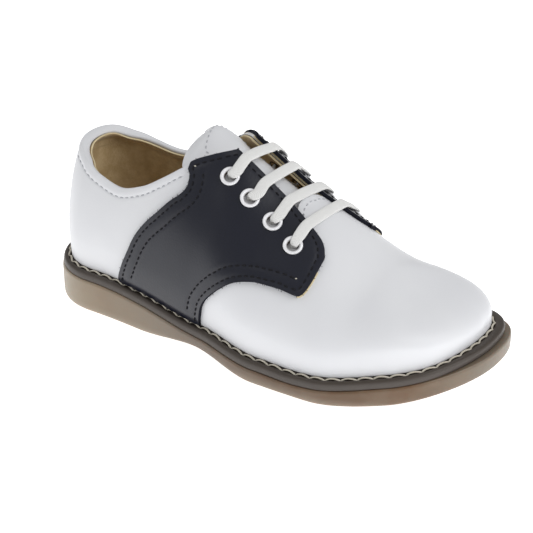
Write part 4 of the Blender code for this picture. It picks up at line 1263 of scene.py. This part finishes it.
black_thread = thread_finish("black_thread", tone(14, 14, 18), tone(30, 30, 36))
light_thread = thread_finish("light_thread", tone(196, 192, 180), tone(150, 146, 134))
ROW_EDGE = 1.7 * MM
ROW_SECOND = 5.2 * MM
ROW_FACING = 1.9 * MM
SADDLE_PITCH = 2.5 * MM
SADDLE_THREAD = 0.27 * MM
STITCH_JITTER = 0.05 * MM
FIBRE = 0.07 * MM
FIBRES = 110
THREAD_END = np.array([0.5, 0.2]) * MM
for word, side, shift in (("outer", -1, 0.0), ("inner", 1, SADDLE_INNER_SHIFT)):
    laid = Laid(side)
    back, top, front, foot = saddle_lines(laid, shift)
    holes = [laid.flat(share_of(turn), climb) for turn, climb in zip(*eyelet_places(side))]
    loop = even(np.concatenate([back, top, front, foot]), EDGE_STEP, closed=True)
    spots, triangles = cut_panel(loop, holes, EYELET_BORE / 2.0 + 0.5 * MM)
    tip = int(np.argmin(front[:24, 1]))
    rows = [
        inward(np.concatenate([back, top[:2]]), ROW_EDGE, loop),
        inward(back, ROW_SECOND, loop),
        inward(np.concatenate([top, front[:tip]]), ROW_FACING, loop),
        inward(front[tip:], ROW_EDGE, loop),
        inward(front[tip:], ROW_SECOND, loop),
    ]
    near = np.min([distance_to(spots, row, closed=False) for row in rows], axis=0)
    lift = SADDLE_LIFT - GROOVE_DEPTH * np.exp(-(near / GROOVE_WIDTH) ** 2)
    lift = lift - FOOT_FOLD * np.exp(-(spots[:, 1] / FOOT_FOLD_HEIGHT) ** 2)
    if side > 0:
        triangles = triangles[:, ::-1]
    panel = skin("saddle_" + word + "_panel", laid.raised(spots, lift), triangles.tolist(),
                 navy.material, crisp=60.0)
    panel.data.materials.append(navy_edge.material)
    wall(panel, SADDLE_LEATHER, rim=1, round_edge=0.22 * MM)
    wear(panel, "navy_leather", "saddle_" + word)

    runs = []
    for number, row in enumerate(rows):
        runs += dashes(row, laid, SADDLE_PITCH, 0.34, 0.02 * MM, -0.42 * MM, STITCH_JITTER, number + 3)
    stitches = sewn("saddle_" + word + "_stitching", runs, SADDLE_THREAD, black_thread)
    wear(stitches, "navy_leather")
    fray = sewn("saddle_" + word + "_fray", frayed(loop, laid, FIBRES, 40 + side), FIBRE, black_thread, 5)
    wear(fray, "navy_leather")

    # The facing's row and the front's second row end in a pale cut thread end.
    dots = []
    for place in (rows[2][0], rows[4][0]):
        dots += dashes(np.array([place, place + THREAD_END]), laid, 0.6 * MM, 0.0, 0.10 * MM, -0.2 * MM)
    wear(sewn("saddle_" + word + "_thread_ends", dots, 0.22 * MM, light_thread), "navy_leather")

    # The cream backing of the leather shows along the front edge above the tip.
    raw = even(front[3:tip + 1], 0.5 * MM)
    outs = laid.outward(raw)
    under_edge = sewn("saddle_" + word + "_raw_edge", [(laid.raised(raw, 0.0) + outs * 0.3 * MM, outs)],
                      0.42 * MM, cream, 8, 0.6)
    wear(under_edge, "navy_leather")


# Tongue: a padded strip of white leather, sewn in under the vamp's rear edge. It widens over the
# instep, and a row of white stitches runs round it inside its edge.
TONGUE_WIDTH = 27.0 * MM
TONGUE_DEPTH = 4.2 * MM
TONGUE_WALL = 2.0 * MM

# Share of length, depth under the last's surface as part of TONGUE_DEPTH, half width as part of
# TONGUE_WIDTH, how much of the depth its sides lose
TONGUE = (
    (0.660, 0.62, 0.40, 0.00),
    (0.600, 0.78, 0.46, 0.00),
    (0.520, 0.95, 0.48, 0.00),
    (0.450, 1.08, 0.49, 0.10),
    (0.405, 1.28, 0.58, 0.45),
    (0.375, 1.52, 0.66, 0.58),
    (0.350, 1.80, 0.66, 0.64),
    (0.336, 2.05, 0.56, 0.50),
    (0.327, 2.20, 0.38, 0.20),
    (0.323, 2.28, 0.20, 0.05),
)
TONGUE_CREST = 2.0 * MM


def tongue_point(at, across, lift=0.0):
    """Point on the tongue: at runs from its sewn end (0) to its top (1), across from -1 to 1."""
    stations = np.linspace(0.0, 1.0, len(TONGUE))
    share = smooth(at, stations, column(TONGUE, 0))
    depth = smooth(at, stations, column(TONGUE, 1)) * TONGUE_DEPTH
    half = smooth(at, stations, column(TONGUE, 2)) * TONGUE_WIDTH
    loss = smooth(at, stations, column(TONGUE, 3))

    def under_facings(distance, side):
        sink = depth * (1.0 - loss * (distance / half) ** 2)
        return lifted(turn_of(share, side), climb_at(share, side, distance), lift - sink)

    distance = abs(across) * half
    crest = np.full_like(half, TONGUE_CREST)
    flank = under_facings(np.maximum(distance, crest), np.where(across < 0.0, -1, 1))
    part = np.clip(0.5 + 0.5 * across * half / TONGUE_CREST, 0.0, 1.0)[..., None]
    middle = under_facings(crest, np.full(crest.shape, -1)) * (1.0 - part)
    middle = middle + under_facings(crest, np.full(crest.shape, 1)) * part
    return np.where((distance < TONGUE_CREST)[..., None], middle, flank)


tongue_at = 1.0 - (1.0 - np.linspace(0.0, 1.0, 60)) ** 1.35
grid_at, grid_across = np.meshgrid(tongue_at, np.linspace(-1.0, 1.0, 41), indexing="ij")
tongue = skin("tongue_leather", tongue_point(grid_at, grid_across).reshape(-1, 3),
              [face[::-1] for face in grid_faces(*grid_at.shape)], white_leather, crisp=60.0)
wall(tongue, TONGUE_WALL, round_edge=0.3 * MM)
wear(tongue, "white_leather", "tongue")


# Eyelets: rings of pressed metal with a white enamel, rolled over the saddle's leather and
# clenched under it.
EYELET_FLANGE = 6.7 * MM
EYELET_TUBE_WALL = 0.35 * MM
EYELET_RIM_WIDTH = 0.35 * MM
EYELET_RIM_HEIGHT = 0.42 * MM
EYELET_TUBE_LENGTH = 3.6 * MM
EYELET_SIDES = 40


def enamel_finish():
    """White enamel on the ring, and painted shade down in its tube: the tube and mouth are coloured dark
    brown for the shadow inside the hole.
    """
    finish = Finish("white_enamel", Coat_Weight=0.4, Coat_Roughness=0.08, Specular_IOR_Level=0.5)
    # Painted shadow: mask of the tube and mouth, which are coloured dark brown as the shade in the hole.
    depth = finish.node("Attribute", {"attribute_name": "tube_depth"}, output=2)
    finish.paint(Base_Color=finish.blend(depth, tone(230, 230, 233), tone(72, 58, 40)),
                 Roughness=0.28 + depth * 0.3)
    return finish.material


def eyelet_mesh():
    """Turned profile of one eyelet: rolled rim, mouth and tube."""
    bore, flange = EYELET_BORE / 2.0, EYELET_FLANGE / 2.0
    tube = bore + EYELET_TUBE_WALL
    rim = [(flange - EYELET_RIM_WIDTH * (1.0 - math.cos(a)), EYELET_RIM_HEIGHT * (1.0 + math.sin(a)))
           for a in np.linspace(-0.5, 1.0, 6) * math.pi / 2.0]
    crown = [(flange - 0.55 * MM, 0.90 * MM), (flange - 0.78 * MM, 0.84 * MM),
             (flange - 0.92 * MM, 0.66 * MM)]
    mouth = [(bore + 0.20 * MM, EYELET_RIM_HEIGHT), (bore + 0.05 * MM, 0.10 * MM),
             (bore, -0.3 * MM), (bore, -1.0 * MM), (bore, -EYELET_TUBE_LENGTH)]
    back = [(tube, -EYELET_TUBE_LENGTH), (tube, 0.0), (flange - 0.5 * MM, 0.0)]
    profile = [*rim, *crown, *mouth, *back, rim[0]]
    points = [(r * math.cos(a), r * math.sin(a), z)
              for a in np.arange(EYELET_SIDES) * 2.0 * math.pi / EYELET_SIDES for r, z in profile]
    shade = [1.0 if z < -0.2 * MM else 0.7 if z < 0.15 * MM else 0.0 for r, z in profile]
    faces = [face[::-1] for face in grid_faces(EYELET_SIDES, len(profile), closed=True)]
    return np.array(points), faces, shade * EYELET_SIDES


enamel = enamel_finish()
ring_points, ring_faces, ring_shade = eyelet_mesh()
for word, side in (("outer", -1), ("inner", 1)):
    seats = lifted(*eyelet_places(side), SADDLE_LIFT)
    outs = last_normal(*eyelet_places(side))
    for number, (seat, out) in enumerate(zip(seats, outs), start=1):
        spin = np.array(Vector(out).to_track_quat("Z", "Y").to_matrix())
        ring = skin(f"eyelet_{word}_{number}_ring", ring_points @ spin.T + seat,
                    ring_faces, enamel, crisp=50.0)
        depth = ring.data.attributes.new("tube_depth", "FLOAT", "POINT")
        depth.data.foreach_set("value", ring_shade)
        wear(ring, "white_enamel", f"eyelet_{word}_{number}")


# Lace: one flat woven cotton lace. It crosses the throat from eyelet to eyelet and rises from
# one pair to the next under the facings; its two ends stop under the top eyelets.
LACE_WIDTH = 3.9 * MM
LACE_THICKNESS = 1.05 * MM
LACE_ARCH = 0.9 * MM
NARROW = 0.62
HOLE_SHIFT = 0.55 * MM
LACE_UNDER = 5.4 * MM
LACE_SIDES = 22
LACE_STEPS = 8
BAR_STOPS = (0.09, 0.20, 0.37, 0.55, 0.65, 0.74, 0.84, 0.92)
ARCH_STOPS = (0.3, 0.6, 0.8)
RISER_STOPS = (0.35, 0.65)


def lace_stops():
    """Places the lace goes through, with its width's direction and its part of the full width."""
    seats = {side: lifted(*eyelet_places(side), SADDLE_LIFT) for side in (-1, 1)}
    outs = {side: last_normal(*eyelet_places(side)) for side in (-1, 1)}
    rows = {side: unit(seats[side][-1] - seats[side][0]) for side in (-1, 1)}
    stops = []

    def through(side, index, downward):
        """Through an eyelet, where the lace is folded narrow."""
        point, out, row = seats[side][index], outs[side][index], rows[side]
        across = unit(np.cross(out, row))
        shift = unit(seats[-side][index] - point) * HOLE_SHIFT
        way = [(point + shift * 1.6 + out * 1.15 * MM, row, 0.78),
               (point + shift - out * 0.5 * MM, unit(row * 2.0 + across), NARROW),
               (point - out * 2.6 * MM, across, NARROW), (point - out * 4.4 * MM, across, 0.8)]
        stops.extend(way if downward else way[::-1])

    def bar(side, index):
        """Across the throat, laid on the saddle at both ends and arched between them."""
        start, end = seats[side][index], seats[-side][index]

        def laid_on(t, over):
            x, y = (start * (1.0 - t) + end * t)[:2]
            out = unit(outs[side][index] * (1.0 - t) + outs[-side][index] * t)
            share = np.array([x / SOLE_LENGTH])
            way = -1 if y < 0.0 else 1
            spot = (turn_of(share, way), climb_at(share, way, np.array([abs(y)])))
            return lifted(*spot, SADDLE_LIFT)[0] + out * over, out

        near = laid_on(BAR_STOPS[1], 1.05 * MM)[0]
        far, out = laid_on(BAR_STOPS[5], 0.70 * MM)
        way = [laid_on(BAR_STOPS[0], 1.50 * MM)[0], near]
        way += [near * (1.0 - s) + far * s + out * LACE_ARCH * 4.0 * s * (1.0 - s) for s in ARCH_STOPS]
        way += [far, laid_on(BAR_STOPS[6], 0.90 * MM)[0], laid_on(BAR_STOPS[7], 1.40 * MM)[0]]
        for t, point in zip(BAR_STOPS, way):
            stops.append((point, unit(rows[side] * (1.0 - t) + rows[-side] * t), 1.0))

    def riser(side, first, last):
        """Under the facing, from one eyelet to the next."""
        out = unit(outs[side][first] + outs[side][last])
        for t in RISER_STOPS:
            point = seats[side][first] * (1.0 - t) + seats[side][last] * t
            stops.append((point - out * LACE_UNDER, unit(np.cross(out, rows[side])), 1.0))

    side = -1
    for index in range(len(EYELETS) - 1, -1, -1):
        through(side, index, downward=False)
        bar(side, index)
        side = -side
        through(side, index, downward=True)
        if index > 0:
            riser(side, index, index - 1)
    return stops


def spline_through(points):
    """Smooth path through points, with the same number of steps from each to the next."""
    points = np.asarray(points)
    padded = np.concatenate([[2.0 * points[0] - points[1]], points, [2.0 * points[-1] - points[-2]]])
    path = []
    for a, b, c, d in zip(padded, padded[1:], padded[2:], padded[3:]):
        for t in np.arange(LACE_STEPS) / LACE_STEPS:
            path.append(0.5 * (2.0 * b + (c - a) * t + (2.0 * a - 5.0 * b + 4.0 * c - d) * t ** 2
                               + (3.0 * b - a - 3.0 * c + d) * t ** 3))
    path.append(points[-1])
    return np.array(path)


def cotton_finish():
    """Flat tubular weave: fine ribs that meet in a herringbone down the lace's middle."""
    finish = Finish("white_cotton", Roughness=0.88, Specular_IOR_Level=0.2, Sheen_Weight=0.25)
    run = finish.node("Attribute", {"attribute_name": "lace_run"}, output=2)
    across = finish.node("Attribute", {"attribute_name": "lace_across"}, output=2)
    slant = finish.node("Math", {"operation": "ABSOLUTE"}, {0: across})
    rib = finish.node("Math", {"operation": "SINE"}, {0: (run + slant * 0.9) * 11.5})
    rib = rib * 0.5 + 0.5
    cords = finish.node("Math", {"operation": "SINE"}, {0: across * 26.0})
    weave = rib * 0.7 + (cords * 0.5 + 0.5) * 0.3
    finish.paint(Base_Color=finish.blend(weave, tone(210, 210, 208), tone(232, 232, 231)))
    finish.relief(weave + finish.cloud(0.0004) * 0.5, 0.00008)
    return finish.material


def lace_mesh():
    """Flat lace swept along its way, with the length and the width at each of its points."""
    path, widths, parts = (spline_through(list(part)) for part in zip(*lace_stops()))
    ahead = unit(np.gradient(path, axis=0))
    widths = unit(widths - ahead * (widths * ahead).sum(-1, keepdims=True))
    thick = np.cross(ahead, widths)
    angle = 2.0 * math.pi * (np.arange(LACE_SIDES + 1) % LACE_SIDES) / LACE_SIDES
    flat = np.sign(np.cos(angle)) * abs(np.cos(angle)) ** 0.75
    high = np.sign(np.sin(angle)) * abs(np.sin(angle)) ** 0.6
    points = (path[:, None] + widths[:, None] * (parts[:, None] * flat * LACE_WIDTH / 2.0)[..., None]
              + thick[:, None] * (high * LACE_THICKNESS / 2.0)[None, :, None])
    return points, np.repeat(along_path(path) / MM, len(flat)), np.tile(flat, len(path))


points, lengths, acrosses = lace_mesh()
lace = skin("lace_woven", points.reshape(-1, 3), grid_faces(*points.shape[:2]), cotton_finish(), crisp=80.0)
for name, values in (("lace_run", lengths), ("lace_across", acrosses)):
    lace.data.attributes.new(name, "FLOAT", "POINT").data.foreach_set("value", values)
wear(lace, "white_lace", "lace")


# White stitching: one row under the padded topline, one round the tongue and one along the
# vamp's rear edge, all in a fine white thread whose colour is painted greyer than the leather, as painted
# shade in its stitch holes.
TONGUE_ROW_START = 0.24
TONGUE_ROW_TURN = 0.43
TONGUE_ROW_ARCH = 0.12
TONGUE_ROW_ACROSS = 0.80
VAMP_ROW = 2.3 * MM
WHITE_THREAD = 0.21 * MM
# White thread painted grey: painted shade of the stitch holes.
shaded_white_thread = thread_finish("shaded_white_thread", tone(186, 188, 192), tone(150, 152, 158))


def tongue_runs():
    """Row round the tongue, inside its edge."""
    up = np.linspace(TONGUE_ROW_START, TONGUE_ROW_TURN, 60)
    over = np.linspace(0.0, math.pi, 60)[1:-1]
    at = np.concatenate([up, TONGUE_ROW_TURN + TONGUE_ROW_ARCH * np.sin(over) ** 0.6, up[::-1]])
    leg = np.ones(len(up))
    across = TONGUE_ROW_ACROSS * np.concatenate([-leg, -np.cos(over), leg])
    points = tongue_point(at, across)
    outs = unit(tongue_point(at, across, 0.5 * MM) - points)
    return row_runs(points, outs, 2.4 * MM, 0.42, 0.06 * MM, -0.30 * MM)


def vamp_runs():
    """Row along the vamp's rear edge, in front of it."""
    half = facing_line(THROAT_END_SHARE)
    across = np.linspace(-1.0, 1.0, 61)
    share = THROAT_END_SHARE - THROAT_END_BULGE * (1.0 - across ** 4) + VAMP_ROW / SOLE_LENGTH
    side = np.where(across < 0.0, -1, 1)
    turn = turn_of(share, side)
    climb = climb_at(share, side, np.maximum(abs(across) * half, 0.02 * MM))
    return row_runs(last_point(turn, climb), last_normal(turn, climb), 2.2 * MM, 0.42,
                    0.06 * MM, -0.26 * MM)


def topline_runs():
    """Row under the padded topline, from one side of the saddle round the heel to the other."""
    turn = np.linspace(-0.5, 0.5, 2001)[1:-1]
    turn = turn[share_of(turn) < 0.368]
    climb = np.array([np.interp(arc[-1] - TOPLINE_PAD_WIDTH, arc, steps)
                      for steps, arc in zip(*leather_columns(turn, collar_climb(turn), 60))])
    return row_runs(last_point(turn, climb), last_normal(turn, climb), 2.5 * MM, 0.40,
                    -0.04 * MM, -0.34 * MM)


for name, runs in (("topline_stitching", topline_runs()), ("tongue_stitching", tongue_runs()),
                   ("vamp_edge_stitching", vamp_runs())):
    wear(sewn(name, runs, WHITE_THREAD, shaded_white_thread), "white_leather")


# Studio: a plain pale floor that is lit from below, as on a light table, an even room and two
# large soft lights. The camera stands where the photo was taken from.
FLOOR_HALF = 3.0
LIGHT_DISTANCE = 1.2
floor_finish = Finish("studio_floor", Roughness=0.9, Specular_IOR_Level=0.1,
                      Emission_Color=(1.0, 1.0, 1.0), Emission_Strength=0.92)
floor_finish.paint(Base_Color=tone(253, 253, 253))
floor_mesh = bpy.data.meshes.new("studio_floor")
floor_corners = [(x * FLOOR_HALF, y * FLOOR_HALF, 0.0) for x, y in ((-1, -1), (1, -1), (1, 1), (-1, 1))]
floor_mesh.from_pydata(floor_corners, [], [(0, 1, 2, 3)])
floor_mesh.materials.append(floor_finish.material)
studio_floor = bpy.data.objects.new("studio_floor", floor_mesh)
studio_floor.location.z = -0.2 * MM
bpy.context.scene.collection.objects.link(studio_floor)

room = bpy.data.worlds.new("studio_room")
room.use_nodes = True
room_light = room.node_tree.nodes["Background"].inputs
room_light["Color"].default_value = (1.0, 1.0, 1.0, 1.0)
room_light["Strength"].default_value = 0.46
bpy.context.scene.world = room


def way_to(azimuth, elevation):
    """Direction from the shoe, turned from its outer side towards the toe and up, in degrees."""
    a, e = math.radians(azimuth), math.radians(elevation)
    return Vector((math.sin(a) * math.cos(e), -math.cos(a) * math.cos(e), math.sin(e)))


def soft_light(name, azimuth, elevation, size, power):
    """Round soft light that looks at the shoe."""
    lamp = bpy.data.lights.new(name, "AREA")
    lamp.shape = "DISK"
    lamp.size = size
    lamp.energy = power
    light = bpy.data.objects.new(name, lamp)
    light.location = way_to(azimuth, elevation) * LIGHT_DISTANCE
    light.rotation_mode = "QUATERNION"
    light.rotation_quaternion = light.location.to_track_quat("Z", "Y")
    bpy.context.scene.collection.objects.link(light)


soft_light("front_light", 95.0, 42.0, 0.9, 6.6)
soft_light("side_light", -60.0, 50.0, 1.0, 1.8)

TARGET = Vector((85.0 * MM + LAST_TO_ROW[0], LAST_TO_ROW[1], 30.0 * MM))
CAMERA_WAY = way_to(32.848, 26.738)
CAMERA_DISTANCE = 499.9 * MM
SENSOR_WIDTH = 36.0
PHOTO_WIDTH = 533.0
FOCAL_LENGTH = 1426.05
lens = bpy.data.cameras.new("photo_camera")
lens.sensor_width = SENSOR_WIDTH
lens.lens = FOCAL_LENGTH * SENSOR_WIDTH / PHOTO_WIDTH
lens.shift_x = -2.37 / PHOTO_WIDTH
lens.shift_y = -16.55 / PHOTO_WIDTH
lens.clip_start = 0.01
lens.clip_end = 20.0
camera = bpy.data.objects.new("photo_camera", lens)
camera.location = TARGET + CAMERA_WAY * CAMERA_DISTANCE
camera.rotation_mode = "QUATERNION"
camera.rotation_quaternion = CAMERA_WAY.to_track_quat("Z", "Y")
bpy.context.scene.collection.objects.link(camera)
bpy.context.scene.camera = camera
bpy.context.scene.view_settings.view_transform = "Standard"
